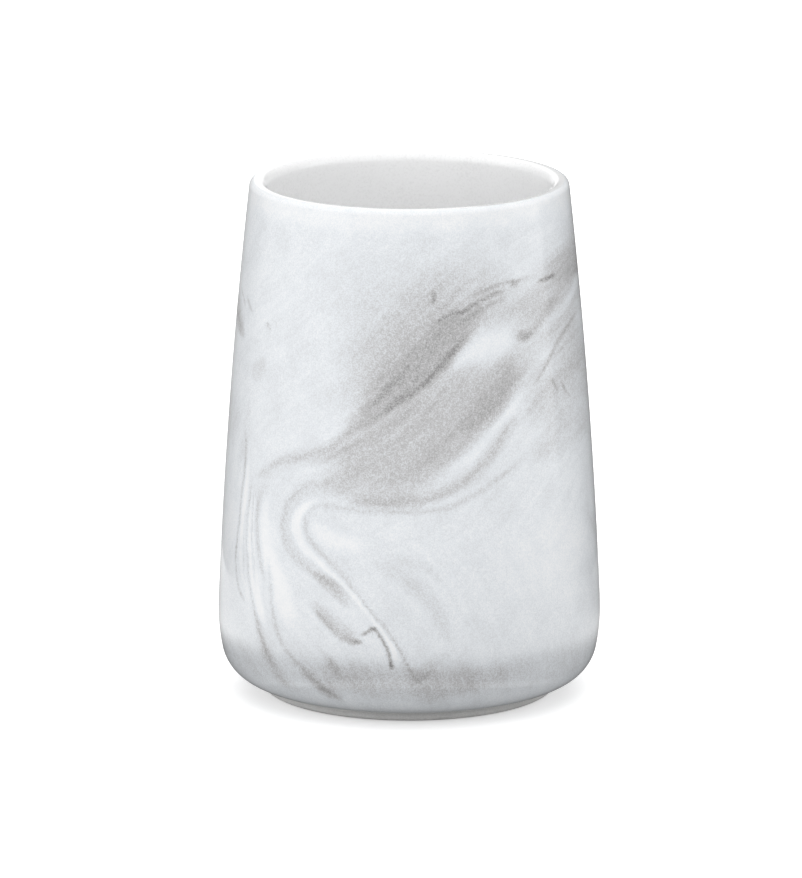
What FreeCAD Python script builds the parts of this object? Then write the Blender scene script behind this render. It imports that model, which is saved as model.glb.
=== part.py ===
"""Bathroom tumbler: a slip-cast stoneware cup, wider at the belly than at the mouth, on a low foot ring.

The fired body carries three separate coats of glaze: a marbled one outside, a plain one inside and a plain
disc under the base. The foot ring stays bare. Four tapered anti-slip pads are bonded under the base, inside
the foot ring, and stand a little proud of it, so the tumbler rests on the pads.

Frame: +Z up, the axis of the cup on Z, the origin on the table under the middle of the base.
Every section is drawn in the XZ plane with its height measured from the foot ring's lower face.
"""

import FreeCAD
import Part
import Sketcher

import math
import os

# Driving dimensions in millimetres and degrees: alias, value, what it measures on the finished, glazed cup.
SIZES = [
    ("cup_height", 110.0, "foot ring's lower face to the top of the rim"),
    ("mouth_diameter", 60.4, "clear opening at the narrowest place inside the rim"),
    ("lip_inner_radius", 1.9, "rounding of the rim into the mouth"),
    ("lip_land", 0.6, "flat width on top of the rim"),
    ("lip_outer_radius", 0.9, "rounding of the rim to the outside"),
    ("lip_blend_angle", 45.0, "slope at which the lip rounding gives way to the shoulder"),
    ("shoulder_radius", 1.6, "soft edge below the rim, outside"),
    ("wall_bow_radius", 1320.0, "gentle outward bow of the wall between shoulder and belly"),
    ("wall_thickness", 3.5, "wall at the belly, glaze included"),
    ("belly_diameter", 81.4, "widest place, outside"),
    ("belly_height", 17.3, "height of the widest place"),
    ("belly_radius", 42.3, "curve of the section through the widest place"),
    ("corner_radius", 8.5, "turn from the belly to the flat underside"),
    ("base_thickness", 4.4, "floor of the cup, glaze included"),
    ("floor_corner_radius", 7.0, "turn from the inner wall to the floor"),
    ("foot_diameter", 62.4, "outside of the foot ring"),
    ("foot_height", 2.2, "underside above the foot ring's lower face"),
    ("foot_ring_width", 4.5, "radial width of the foot ring"),
    ("foot_edge_radius", 0.8, "worn rounding of the foot ring's lower edges"),
    ("glaze_thickness", 0.35, "fired coat of glaze"),
    ("pad_diameter", 10.0, "anti-slip pad where it is bonded on"),
    ("pad_sole_diameter", 8.4, "flat of the pad that rests on the table"),
    ("pad_edge_radius", 0.5, "rounding of the pad's lower edge"),
    ("pad_proud", 0.4, "how far the pads stand below the foot ring"),
    ("pad_clearance", 1.2, "gap between a pad and the foot ring"),
]
PAD_ANGLES = (45.0, 135.0, 225.0, 315.0)

# Named points of sketched items, and the sketch's own origin.
START, END, CENTRE = 1, 2, 3
ORIGIN = (-1, START)

CREST = "Sizes.mouth_diameter/2 + Sizes.lip_inner_radius + Sizes.lip_land"
BELLY_CENTRE = ("Sizes.belly_diameter/2 - Sizes.belly_radius", "Sizes.belly_height")
GLAZE = "Sizes.glaze_thickness"


def make_sheet(doc):
    """The spreadsheet of driving dimensions. Returns the values by alias."""
    sheet = doc.addObject("Spreadsheet::Sheet", "Sizes")
    for row, (alias, value, meaning) in enumerate(SIZES, start=1):
        sheet.set(f"A{row}", alias)
        sheet.set(f"B{row}", str(value))
        sheet.set(f"C{row}", meaning)
        sheet.setAlias(f"B{row}", alias)
    doc.recompute()
    return {alias: float(sheet.get(alias)) for alias, _, _ in SIZES}


def new_body(doc, label):
    """An empty body whose Label names its file."""
    body = doc.addObject("PartDesign::Body", label)
    body.Label = label
    return body


class Section:
    """A closed section sketched on one of its body's own planes: x is the radius, y the height.

    Curves are drawn where they belong, then held there by tangency and by dimensions bound to the sheet.
    """

    def __init__(self, body, name, role="XZ_Plane"):
        self.body = body
        self.sketch = body.newObject("Sketcher::SketchObject", name)
        plane = next(f for f in body.Origin.OriginFeatures if f.Role == role)
        self.sketch.AttachmentSupport = (plane, [""])
        self.sketch.MapMode = "FlatFace"
        self.rules = []
        self.bindings = []

    def line(self, start, end):
        """A straight line between two points."""
        segment = Part.LineSegment(FreeCAD.Vector(*start, 0), FreeCAD.Vector(*end, 0))
        return self.sketch.addGeometry(segment, False)

    def circle(self, centre, radius):
        """A whole circle."""
        circle = Part.Circle(FreeCAD.Vector(*centre, 0), FreeCAD.Vector(0, 0, 1), radius)
        return self.sketch.addGeometry(circle, False)

    def arc(self, centre, radius, from_angle, to_angle):
        """An arc drawn anticlockwise between two angles in radians."""
        circle = Part.Circle(FreeCAD.Vector(*centre, 0), FreeCAD.Vector(0, 0, 1), radius)
        return self.sketch.addGeometry(Part.ArcOfCircle(circle, from_angle, to_angle), False)

    def point(self, item, which):
        """A named point of an item, as drawn."""
        if (item, which) == ORIGIN:
            return 0.0, 0.0
        vector = self.sketch.getPoint(item, which)
        return vector.x, vector.y

    def join(self, kind, *pairs):
        """Joins ends of neighbouring curves, each pair as (item, end, next item, its end)."""
        self.rules += [Sketcher.Constraint(kind, *pair) for pair in pairs]

    def level(self, *items):
        """Keeps lines horizontal."""
        self.rules += [Sketcher.Constraint("Horizontal", item) for item in items]

    def upright(self, *items):
        """Keeps lines vertical."""
        self.rules += [Sketcher.Constraint("Vertical", item) for item in items]

    def bind(self, rule, expression):
        """A dimension whose value comes from the sheet."""
        self.bindings.append((len(self.rules), expression))
        self.rules.append(rule)

    def radius(self, item, expression):
        """The radius of a circle or an arc."""
        self.bind(Sketcher.Constraint("Radius", item, self.sketch.Geometry[item].Radius), expression)

    def across(self, first, second, expression):
        """The distance along x from one point to another, each as (item, point)."""
        value = self.point(*second)[0] - self.point(*first)[0]
        self.bind(Sketcher.Constraint("DistanceX", *first, *second, value), expression)

    def up(self, first, second, expression):
        """The distance along y from one point to another, each as (item, point)."""
        value = self.point(*second)[1] - self.point(*first)[1]
        self.bind(Sketcher.Constraint("DistanceY", *first, *second, value), expression)

    def place(self, item, which, across, up):
        """Fixes one point by its distances from the origin."""
        self.across(ORIGIN, (item, which), across)
        self.up(ORIGIN, (item, which), up)

    def close(self, item, which, other, other_which):
        """A straight line between two loose ends, so that the section is one closed loop."""
        line = self.line(self.point(item, which), self.point(other, other_which))
        self.join("Coincident", (line, START, item, which), (line, END, other, other_which))

    def settle(self):
        """Hands every rule to the sketch at once, then binds the dimensions."""
        self.sketch.addConstraint(self.rules)
        for index, expression in self.bindings:
            self.sketch.setExpression(f"Constraints[{index}]", expression)

    def turn(self, kind, name):
        """A full turn of the settled section about its vertical axis, as a Revolution or a Groove."""
        self.settle()
        feature = self.body.newObject(f"PartDesign::{kind}", name)
        feature.Profile = self.sketch
        feature.ReferenceAxis = (self.sketch, ["V_Axis"])
        feature.Angle = 360.0
        return feature


def left_meeting(a, from_a, b, from_b):
    """The left one of the two points at given distances from a and from b."""
    dx, dz = b[0] - a[0], b[1] - a[1]
    gap = math.hypot(dx, dz)
    along = (from_a**2 - from_b**2 + gap**2) / (2 * gap)
    aside = math.sqrt(from_a**2 - along**2)
    middle = (a[0] + along * dx / gap, a[1] + along * dz / gap)
    return min((middle[0] + s * aside * dz / gap, middle[1] - s * aside * dx / gap) for s in (1, -1))


def bearing(a, b):
    """The angle in radians at which b lies from a."""
    return math.atan2(b[1] - a[1], b[0] - a[0])


def corner_centre(belly_c, reach, height):
    """The centre, at a height, of a corner arc that touches the belly's curve from within."""
    return belly_c[0] + math.sqrt(reach**2 - (height - belly_c[1]) ** 2), height


def outside_chain(section, v, depth, depth_name):
    """The outside of the cup at a depth below the finished surface, from the rim's crest to the axis.

    Five tangent arcs and the flat underside. Returns the lip, whose END is the crest, and the underside,
    whose END lies on the axis.
    """
    crest = v["mouth_diameter"] / 2 + v["lip_inner_radius"] + v["lip_land"]
    blend = math.radians(v["lip_blend_angle"])
    step = v["shoulder_radius"] - v["lip_outer_radius"]
    bow, belly_r = v["wall_bow_radius"], v["belly_radius"]
    lip_c = (crest, v["cup_height"] - v["lip_outer_radius"])
    shoulder_c = (lip_c[0] - step * math.cos(blend), lip_c[1] - step * math.sin(blend))
    belly_c = (v["belly_diameter"] / 2 - belly_r, v["belly_height"])
    wall_c = left_meeting(shoulder_c, bow - v["shoulder_radius"], belly_c, bow - belly_r)
    corner_c = corner_centre(belly_c, belly_r - v["corner_radius"], v["foot_height"] + v["corner_radius"])
    wall_top, wall_low = bearing(wall_c, shoulder_c), bearing(wall_c, belly_c)
    belly_low = bearing(belly_c, corner_c)
    under_z = v["foot_height"] + depth

    lip = section.arc(lip_c, v["lip_outer_radius"] - depth, blend, math.pi / 2)
    shoulder = section.arc(shoulder_c, v["shoulder_radius"] - depth, wall_top, blend)
    wall = section.arc(wall_c, bow - depth, wall_low, wall_top)
    belly = section.arc(belly_c, belly_r - depth, belly_low, wall_low)
    corner = section.arc(corner_c, v["corner_radius"] - depth, -math.pi / 2, belly_low)
    under = section.line((corner_c[0], under_z), (0, under_z))

    chain = [
        (lip, "lip_outer"),
        (shoulder, "shoulder"),
        (wall, "wall_bow"),
        (belly, "belly"),
        (corner, "corner"),
    ]
    for (item, _), (following, _) in zip(chain, chain[1:]):
        section.join("Tangent", (item, START, following, END))
    section.join("Tangent", (corner, START, under, START))
    for item, name in chain:
        section.radius(item, f"Sizes.{name}_radius - {depth_name}")
    section.place(lip, CENTRE, CREST, "Sizes.cup_height - Sizes.lip_outer_radius")
    section.join("Vertical", (lip, CENTRE, lip, END))
    slope = "cos(Sizes.lip_blend_angle * 1 deg)"
    shift = "(Sizes.shoulder_radius - Sizes.lip_outer_radius)"
    section.across((shoulder, CENTRE), (lip, CENTRE), f"{shift} * {slope}")
    section.place(belly, CENTRE, *BELLY_CENTRE)
    section.up(ORIGIN, (corner, CENTRE), "Sizes.foot_height + Sizes.corner_radius")
    section.level(under)
    section.across(ORIGIN, (under, END), "0")
    return lip, under


def inside_chain(section, v, depth, depth_name):
    """The inside of the cup at a depth below the finished surface, from the rim's crest to the axis.

    The rim's flat land, four tangent arcs and the floor. Returns the land, whose START is the crest and is
    left for the caller to fix, and the floor, whose END lies on the axis.
    """
    lip_r, thick, corner_r = v["lip_inner_radius"], v["wall_thickness"], v["floor_corner_radius"]
    bow, belly_r = v["wall_bow_radius"] - thick, v["belly_radius"] - thick
    lip_c = (v["mouth_diameter"] / 2 + lip_r, v["cup_height"] - lip_r)
    belly_c = (v["belly_diameter"] / 2 - v["belly_radius"], v["belly_height"])
    wall_c = left_meeting(lip_c, bow + lip_r, belly_c, bow - belly_r)
    floor_z = v["foot_height"] + v["base_thickness"]
    corner_c = corner_centre(belly_c, belly_r - corner_r, floor_z + corner_r)
    wall_top, wall_low = bearing(wall_c, lip_c), bearing(wall_c, belly_c)
    belly_low = bearing(belly_c, corner_c)
    top_z = v["cup_height"] - depth

    land = section.line((lip_c[0] + v["lip_land"], top_z), (lip_c[0], top_z))
    lip = section.arc(lip_c, lip_r - depth, math.pi / 2, math.pi + wall_top)
    wall = section.arc(wall_c, bow + depth, wall_low, wall_top)
    belly = section.arc(belly_c, belly_r + depth, belly_low, wall_low)
    corner = section.arc(corner_c, corner_r + depth, -math.pi / 2, belly_low)
    floor = section.line((corner_c[0], floor_z - depth), (0, floor_z - depth))

    section.join("Tangent", (land, END, lip, START), (lip, END, wall, END), (wall, START, belly, END))
    section.join("Tangent", (belly, START, corner, END), (corner, START, floor, START))
    section.radius(lip, f"Sizes.lip_inner_radius - {depth_name}")
    section.radius(wall, f"Sizes.wall_bow_radius - Sizes.wall_thickness + {depth_name}")
    section.radius(belly, f"Sizes.belly_radius - Sizes.wall_thickness + {depth_name}")
    section.radius(corner, f"Sizes.floor_corner_radius + {depth_name}")
    section.across(ORIGIN, (lip, CENTRE), "Sizes.mouth_diameter/2 + Sizes.lip_inner_radius")
    section.place(belly, CENTRE, *BELLY_CENTRE)
    floor_corner = "Sizes.foot_height + Sizes.base_thickness + Sizes.floor_corner_radius"
    section.up(ORIGIN, (corner, CENTRE), floor_corner)
    section.level(land, floor)
    section.across(ORIGIN, (floor, END), "0")
    return land, floor


def lift_onto_pads(body):
    """Raises a ceramic body by what the pads stand below the foot ring."""
    body.setExpression("Placement.Base.z", "Sizes.pad_proud")


def add_foot_ring(body, v):
    """The foot ring under the cup: upright sides, a flat sole and rounded lower edges."""
    ring = Section(body, "foot_section")
    edge = v["foot_edge_radius"]
    outer = v["foot_diameter"] / 2
    inner = outer - v["foot_ring_width"]
    top = v["foot_height"] + v["base_thickness"] / 2
    front = ring.line((outer, edge), (outer, top))
    lid = ring.line((outer, top), (inner, top))
    back = ring.line((inner, top), (inner, edge))
    inner_edge = ring.arc((inner + edge, edge), edge, math.pi, 1.5 * math.pi)
    sole = ring.line((inner + edge, 0), (outer - edge, 0))
    outer_edge = ring.arc((outer - edge, edge), edge, 1.5 * math.pi, 2 * math.pi)
    ring.join("Coincident", (front, END, lid, START), (lid, END, back, START))
    ring.join("Tangent", (back, END, inner_edge, START), (inner_edge, END, sole, START))
    ring.join("Tangent", (sole, END, outer_edge, START), (outer_edge, END, front, START))
    ring.upright(front, back)
    ring.level(lid, sole)
    ring.radius(inner_edge, "Sizes.foot_edge_radius")
    ring.radius(outer_edge, "Sizes.foot_edge_radius")
    ring.place(front, END, "Sizes.foot_diameter/2", "Sizes.foot_height + Sizes.base_thickness/2")
    ring.across((lid, END), (lid, START), "Sizes.foot_ring_width")
    ring.up(ORIGIN, (sole, START), "0")
    ring.turn("Revolution", "foot_ring")


def make_stoneware(doc, v):
    """The fired cup under its glaze: one turned section, then the foot ring added below it."""
    body = new_body(doc, "stoneware_body")
    cup = Section(body, "cup_section")
    lip, under = outside_chain(cup, v, v["glaze_thickness"], GLAZE)
    land, floor = inside_chain(cup, v, v["glaze_thickness"], GLAZE)
    cup.join("Coincident", (land, START, lip, END))
    cup.close(under, END, floor, END)
    cup.turn("Revolution", "cup")
    doc.recompute()
    add_foot_ring(body, v)
    lift_onto_pads(body)
    return body


def make_outer_glaze(doc, v):
    """The marbled coat: from the rim's crest down the outside and in under the corner.

    It is wiped off inside the foot ring's outer face, so it ends against the bare ring.
    """
    body = new_body(doc, "outer_glaze")
    coat = Section(body, "coat_section")
    lip, under = outside_chain(coat, v, 0.0, "0")
    lip_back, under_back = outside_chain(coat, v, v["glaze_thickness"], GLAZE)
    coat.close(lip, END, lip_back, END)
    coat.close(under, END, under_back, END)
    coat.turn("Revolution", "coat")
    doc.recompute()

    wiped = Section(body, "wiped_section")
    outer, top = v["foot_diameter"] / 2, v["belly_height"]
    corners = [(0, 0), (outer, 0), (outer, top), (0, top)]
    sides = [wiped.line(corners[i - 1], corners[i]) for i in range(4)]
    wiped.join("Coincident", *[(sides[i - 1], END, sides[i], START) for i in range(4)])
    wiped.upright(sides[0], sides[2])
    wiped.level(sides[1], sides[3])
    wiped.place(sides[0], END, "0", "0")
    wiped.place(sides[2], END, "Sizes.foot_diameter/2", "Sizes.belly_height")
    wiped.turn("Groove", "wiped_foot")
    lift_onto_pads(body)
    return body


def make_inner_glaze(doc, v):
    """The plain coat inside: from the rim's crest over the lip, down the wall and across the floor."""
    body = new_body(doc, "inner_glaze")
    lining = Section(body, "lining_section")
    land, floor = inside_chain(lining, v, 0.0, "0")
    land_back, floor_back = inside_chain(lining, v, v["glaze_thickness"], GLAZE)
    lining.place(land, START, CREST, "Sizes.cup_height")
    lining.place(land_back, START, CREST, f"Sizes.cup_height - {GLAZE}")
    lining.close(land, START, land_back, START)
    lining.close(floor, END, floor_back, END)
    lining.turn("Revolution", "lining")
    lift_onto_pads(body)
    return body


def make_base_glaze(doc, v):
    """The plain disc of glaze under the base, inside the foot ring."""
    body = new_body(doc, "base_glaze")
    outline = Section(body, "disc_outline", "XY_Plane")
    disc = outline.circle((0, 0), v["foot_diameter"] / 2 - v["foot_ring_width"])
    outline.join("Coincident", (disc, CENTRE, *ORIGIN))
    outline.radius(disc, "Sizes.foot_diameter/2 - Sizes.foot_ring_width")
    outline.settle()
    coat = body.newObject("PartDesign::Pad", "disc")
    coat.Profile = outline.sketch
    coat.setExpression("Length", GLAZE)
    body.setExpression("Placement.Base.z", "Sizes.pad_proud + Sizes.foot_height")
    return body


def make_pad(doc, v, number, angle):
    """One anti-slip pad: a disc that tapers towards the table, with a rounded lower edge."""
    body = new_body(doc, f"anti_slip_pad_{number}")
    pad = Section(body, "pad_section")
    thick = v["pad_proud"] + v["foot_height"]
    edge = v["pad_edge_radius"]
    rim = (v["pad_diameter"] / 2, thick)
    centre = (v["pad_sole_diameter"] / 2, edge)
    touch = bearing(centre, rim) - math.acos(edge / math.dist(centre, rim))
    side_low = (centre[0] + edge * math.cos(touch), centre[1] + edge * math.sin(touch))

    bond = pad.line((0, thick), rim)
    side = pad.line(rim, side_low)
    rounding = pad.arc(centre, edge, -math.pi / 2, touch)
    sole = pad.line((centre[0], 0), (0, 0))
    pad.join("Coincident", (bond, END, side, START))
    pad.join("Tangent", (side, END, rounding, END), (rounding, START, sole, START))
    pad.level(bond, sole)
    pad.radius(rounding, "Sizes.pad_edge_radius")
    pad.place(bond, START, "0", "Sizes.pad_proud + Sizes.foot_height")
    pad.across((bond, START), (bond, END), "Sizes.pad_diameter/2")
    pad.place(sole, END, "0", "0")
    pad.across((sole, END), (sole, START), "Sizes.pad_sole_diameter/2")
    pad.close(sole, END, bond, START)
    pad.turn("Revolution", "pad")

    ring_inside = "Sizes.foot_diameter/2 - Sizes.foot_ring_width"
    reach = f"({ring_inside} - Sizes.pad_clearance - Sizes.pad_diameter/2)"
    body.setExpression("Placement.Base.x", f"{reach} * cos({angle} deg)")
    body.setExpression("Placement.Base.y", f"{reach} * sin({angle} deg)")
    return body


def check(doc, bodies):
    """Stops the build if any object failed or any piece is not one valid closed solid."""
    for item in doc.Objects:
        if {"Invalid", "Error"} & set(item.State):
            raise RuntimeError(f"{item.Label} failed: {item.State} {item.getStatusString()}")
    for body in bodies:
        shape = body.Shape
        if shape.isNull() or not shape.isValid() or len(shape.Solids) != 1 or shape.Volume <= 0:
            raise RuntimeError(f"{body.Label} is not one valid solid")


def main():
    """Builds the document, checks it and writes one STEP file for each piece."""
    doc = FreeCAD.newDocument("bathroom_tumbler")
    v = make_sheet(doc)
    bodies = [make(doc, v) for make in (make_stoneware, make_outer_glaze, make_inner_glaze, make_base_glaze)]
    bodies += [make_pad(doc, v, number, angle) for number, angle in enumerate(PAD_ANGLES, start=1)]
    doc.recompute()
    check(doc, bodies)
    os.makedirs("parts", exist_ok=True)
    for body in bodies:
        body.Shape.exportStep(f"parts/{body.Label}.step")
        box = body.Shape.optimalBoundingBox()
        extent = f"{box.XLength:.2f} x {box.YLength:.2f} x {box.ZLength:.2f}"
        print(f"{body.Label}: {body.Shape.Volume:.1f} mm3, {extent} mm")


main()
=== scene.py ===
"""Bathroom tumbler: a turned stoneware cup with a marbled glaze, shown on a pale studio floor.

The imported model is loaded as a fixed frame, and each piece here is turned or moulded in its place on it.
Lengths are in metres unless a name says millimetres. The side that faces the camera is -Y.
"""

import math
from typing import NamedTuple

import bmesh
import bpy
import numpy as np
from bpy.props import FloatProperty, FloatVectorProperty, PointerProperty
from bpy.types import Operator, Panel, PropertyGroup
from mathutils import Matrix, Vector, noise


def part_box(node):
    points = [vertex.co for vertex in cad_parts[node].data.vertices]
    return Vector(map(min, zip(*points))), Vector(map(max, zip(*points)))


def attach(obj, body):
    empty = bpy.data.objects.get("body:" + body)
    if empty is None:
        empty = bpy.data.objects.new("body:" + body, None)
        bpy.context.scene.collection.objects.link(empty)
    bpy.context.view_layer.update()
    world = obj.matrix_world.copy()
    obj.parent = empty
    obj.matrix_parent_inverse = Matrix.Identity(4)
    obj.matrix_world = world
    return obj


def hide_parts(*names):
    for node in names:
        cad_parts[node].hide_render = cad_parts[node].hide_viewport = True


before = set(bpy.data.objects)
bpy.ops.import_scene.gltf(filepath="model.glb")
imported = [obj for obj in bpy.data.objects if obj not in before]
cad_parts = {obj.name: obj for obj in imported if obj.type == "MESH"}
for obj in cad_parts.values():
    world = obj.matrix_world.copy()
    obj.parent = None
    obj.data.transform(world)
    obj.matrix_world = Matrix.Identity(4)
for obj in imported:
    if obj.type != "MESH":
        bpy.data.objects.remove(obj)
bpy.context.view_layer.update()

bl_info = {
    "name": "Bathroom Tumbler",
    "version": (1, 0, 0),
    "blender": (4, 5, 0),
    "location": "View3D > Sidebar > Tumbler",
    "description": "Builds a glazed stoneware tumbler with marble veining around its packed model",
    "category": "Object",
}

MM = 0.001
BODY = "root"
PADS = tuple(f"anti_slip_pad_{number}" for number in (1, 2, 3, 4))

# Steps of a turned piece round the axis: the coats that show most, the other wide pieces, and the pads
STEPS_ROUND = 360
PLAIN_STEPS_ROUND = 240
PAD_STEPS_ROUND = 72

# Steps along the arcs of the outside (lip, shoulder, wall, belly, corner) and of the inside (lip, wall,
# belly, floor corner): on a glaze's face, on its back and on the stoneware
OUTSIDE_FACE = (8, 12, 152, 20, 26)
OUTSIDE_BACK = (2, 3, 8, 3, 5)
OUTSIDE_BODY = (6, 8, 24, 6, 10)
INSIDE_FACE = (8, 60, 10, 18)
INSIDE_BACK = (3, 8, 3, 5)
INSIDE_BODY = (6, 24, 6, 10)
QUARTER = math.pi / 2
MERGE_DISTANCE = 1e-6
SHARP_ANGLE = math.radians(40)

# The photograph's frame in pixels, and where the middle of the cup lies in it
PHOTO_WIDTH, PHOTO_HEIGHT = 802, 878
CUP_IN_PHOTO = (409.3, 431.9)


def node_height(name):
    """Lowest and highest level of a CAD node."""
    low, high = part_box(name)
    return low[2], high[2]


def node_width(name):
    """Overall width of a CAD node."""
    low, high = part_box(name)
    return high[0] - low[0]


def node_depth(name):
    """Upright thickness of a CAD node."""
    low, high = node_height(name)
    return high - low


# User settings: sizes, colours and studio


def length(name, description, default):
    """A length that a user may change."""
    return FloatProperty(
        name=name, description=description, default=default, min=0.0, unit="LENGTH", precision=5
    )


def colour(name, description, default):
    """A colour that a user may change, as it is written for a screen."""
    return FloatVectorProperty(
        name=name, description=description, default=default, size=3, min=0.0, max=1.0, subtype="COLOR_GAMMA"
    )


class TumblerSizes(PropertyGroup):
    """The finished section of the cup and its pads."""

    top: length("Rim height", "Table to the top of the rim", node_height("inner_glaze")[1])
    foot_level: length("Foot level", "Table to the foot ring's lower face", node_height("stoneware_body")[0])
    belly_diameter: length("Belly diameter", "Widest place, outside", 81.4 * MM)
    foot_diameter: length("Foot diameter", "Outside of the foot ring", 62.4 * MM)
    mouth_diameter: length("Mouth diameter", "Clear opening inside the rim", 60.4 * MM)
    lip_inner_radius: length("Inner lip", "Rounding of the rim into the mouth", 1.9 * MM)
    lip_land: length("Lip land", "Flat width on top of the rim", 0.6 * MM)
    lip_outer_radius: length("Outer lip", "Rounding of the rim to the outside", 0.9 * MM)
    shoulder_radius: length("Shoulder", "Soft edge below the rim", 1.6 * MM)
    wall_bow_radius: length("Wall bow", "Gentle bow of the wall", 1320 * MM)
    wall_thickness: length("Wall thickness", "Wall at the belly with its glaze", 3.5 * MM)
    belly_height: length("Belly height", "Widest place above the foot ring's lower face", 17.3 * MM)
    belly_radius: length("Belly curve", "Curve of the section through the belly", 42.3 * MM)
    corner_radius: length("Corner", "Turn from the belly to the underside", 8.5 * MM)
    base_thickness: length("Base thickness", "Floor of the cup with its glaze", 4.4 * MM)
    floor_corner_radius: length("Floor corner", "Turn from the inner wall to the floor", 7.0 * MM)
    foot_height: length("Foot height", "Underside above the foot ring's lower face", 2.2 * MM)
    foot_ring_width: length("Foot ring width", "Radial width of the foot ring", 4.5 * MM)
    foot_edge_radius: length("Foot edge", "Rounding of the foot ring's lower edges", 0.8 * MM)
    glaze_thickness: length("Glaze", "Fired coat of glaze", node_depth("base_glaze"))
    glaze_roll: length("Glaze roll", "Rounding where the glaze ends at the foot ring", 0.25 * MM)
    pad_diameter: length("Pad diameter", "Pad where it is bonded on", node_width(PADS[0]))
    pad_sole_diameter: length("Pad sole", "Flat of the pad on the table", 8.4 * MM)
    pad_edge_radius: length("Pad edge", "Rounding of the pad's lower edge", 0.5 * MM)


class TumblerColours(PropertyGroup):
    """Colours of the finishes, as they look under plain light."""

    white: colour("White veining", "Clearest white in the marble", (0.99, 0.993, 0.996))
    ground: colour("Ground", "Ground of the marbled glaze", (0.925, 0.941, 0.957))
    lining: colour("Lining", "Plain glaze inside and under the base", (0.994, 0.995, 0.996))
    veil: colour("Light veining", "Thin grey veils in the marble", (0.78, 0.78, 0.785))
    vein: colour("Dark veining", "Densest places in the marble", (0.56, 0.555, 0.555))
    stoneware: colour("Bare stoneware", "Unglazed foot ring", (0.94, 0.938, 0.932))
    pad: colour("Pad", "Soft anti-slip pads", (0.80, 0.80, 0.79))
    floor: colour("Floor", "Studio floor", (0.91, 0.91, 0.91))


class TumblerStudio(PropertyGroup):
    """Where the camera stands."""

    distance: length("Camera distance", "Camera to the middle of the cup", 1.708)
    aim_height: length("Aim height", "Height of the point that the camera looks at", 55.67 * MM)
    elevation: FloatProperty(
        name="Camera elevation",
        description="Camera above level",
        default=math.radians(13.02),
        subtype="ANGLE",
    )
    lens: FloatProperty(
        name="Lens", description="Focal length on a 36 mm frame", default=329.7, unit="CAMERA"
    )


# Sections and turning


def left_meeting(a, from_a, b, from_b):
    """The left one of the two points at given distances from a and from b."""
    dx, dz = b[0] - a[0], b[1] - a[1]
    gap = math.hypot(dx, dz)
    along = (from_a**2 - from_b**2 + gap**2) / (2 * gap)
    aside = math.sqrt(from_a**2 - along**2)
    middle = (a[0] + along * dx / gap, a[1] + along * dz / gap)
    return min((middle[0] + s * aside * dz / gap, middle[1] - s * aside * dx / gap) for s in (1, -1))


def bearing(a, b):
    """The angle in radians at which b lies from a."""
    return math.atan2(b[1] - a[1], b[0] - a[0])


class CupShape:
    """Centres and angles of the arcs that make the finished section, from the sizes."""

    def __init__(self, size):
        self.size = size
        foot = size.foot_level
        self.crest = size.mouth_diameter / 2 + size.lip_inner_radius + size.lip_land
        self.under = foot + size.foot_height
        self.floor = self.under + size.base_thickness
        self.foot_outer = size.foot_diameter / 2
        self.foot_inner = self.foot_outer - size.foot_ring_width
        self.belly_c = (size.belly_diameter / 2 - size.belly_radius, foot + size.belly_height)

        step = (size.shoulder_radius - size.lip_outer_radius) * math.sqrt(0.5)
        self.lip_c = (self.crest, size.top - size.lip_outer_radius)
        self.shoulder_c = (self.lip_c[0] - step, self.lip_c[1] - step)
        bow = size.wall_bow_radius
        self.wall_c = left_meeting(
            self.shoulder_c, bow - size.shoulder_radius, self.belly_c, bow - size.belly_radius
        )
        self.corner_c = self.corner(size.belly_radius, size.corner_radius, self.under + size.corner_radius)

        bow -= size.wall_thickness
        belly = size.belly_radius - size.wall_thickness
        self.inner_lip_c = (self.crest - size.lip_land, size.top - size.lip_inner_radius)
        self.inner_wall_c = left_meeting(
            self.inner_lip_c, bow + size.lip_inner_radius, self.belly_c, bow - belly
        )
        self.floor_c = self.corner(belly, size.floor_corner_radius, self.floor + size.floor_corner_radius)

    def corner(self, belly_radius, corner_radius, level):
        """Centre of a corner arc that touches the belly's curve from within."""
        reach = belly_radius - corner_radius
        return self.belly_c[0] + math.sqrt(reach**2 - (level - self.belly_c[1]) ** 2), level

    def outside(self):
        """Arcs of the outside from the crest down: centre and the angle turned, clockwise."""
        wall_top = bearing(self.wall_c, self.shoulder_c)
        wall_low = bearing(self.wall_c, self.belly_c)
        belly_low = bearing(self.belly_c, self.corner_c)
        return [
            (self.lip_c, math.pi / 4),
            (self.shoulder_c, math.pi / 4 - wall_top),
            (self.wall_c, wall_top - wall_low),
            (self.belly_c, wall_low - belly_low),
            (self.corner_c, belly_low + math.pi / 2),
        ]

    def inside(self):
        """Arcs of the inside from the crest's land down: centre and the angle turned, clockwise."""
        wall_top = bearing(self.inner_wall_c, self.inner_lip_c)
        wall_low = bearing(self.inner_wall_c, self.belly_c)
        belly_low = bearing(self.belly_c, self.floor_c)
        return [
            (self.inner_lip_c, -math.pi / 2 - wall_top),
            (self.inner_wall_c, wall_top - wall_low),
            (self.belly_c, wall_low - belly_low),
            (self.floor_c, belly_low + math.pi / 2),
        ]


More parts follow.
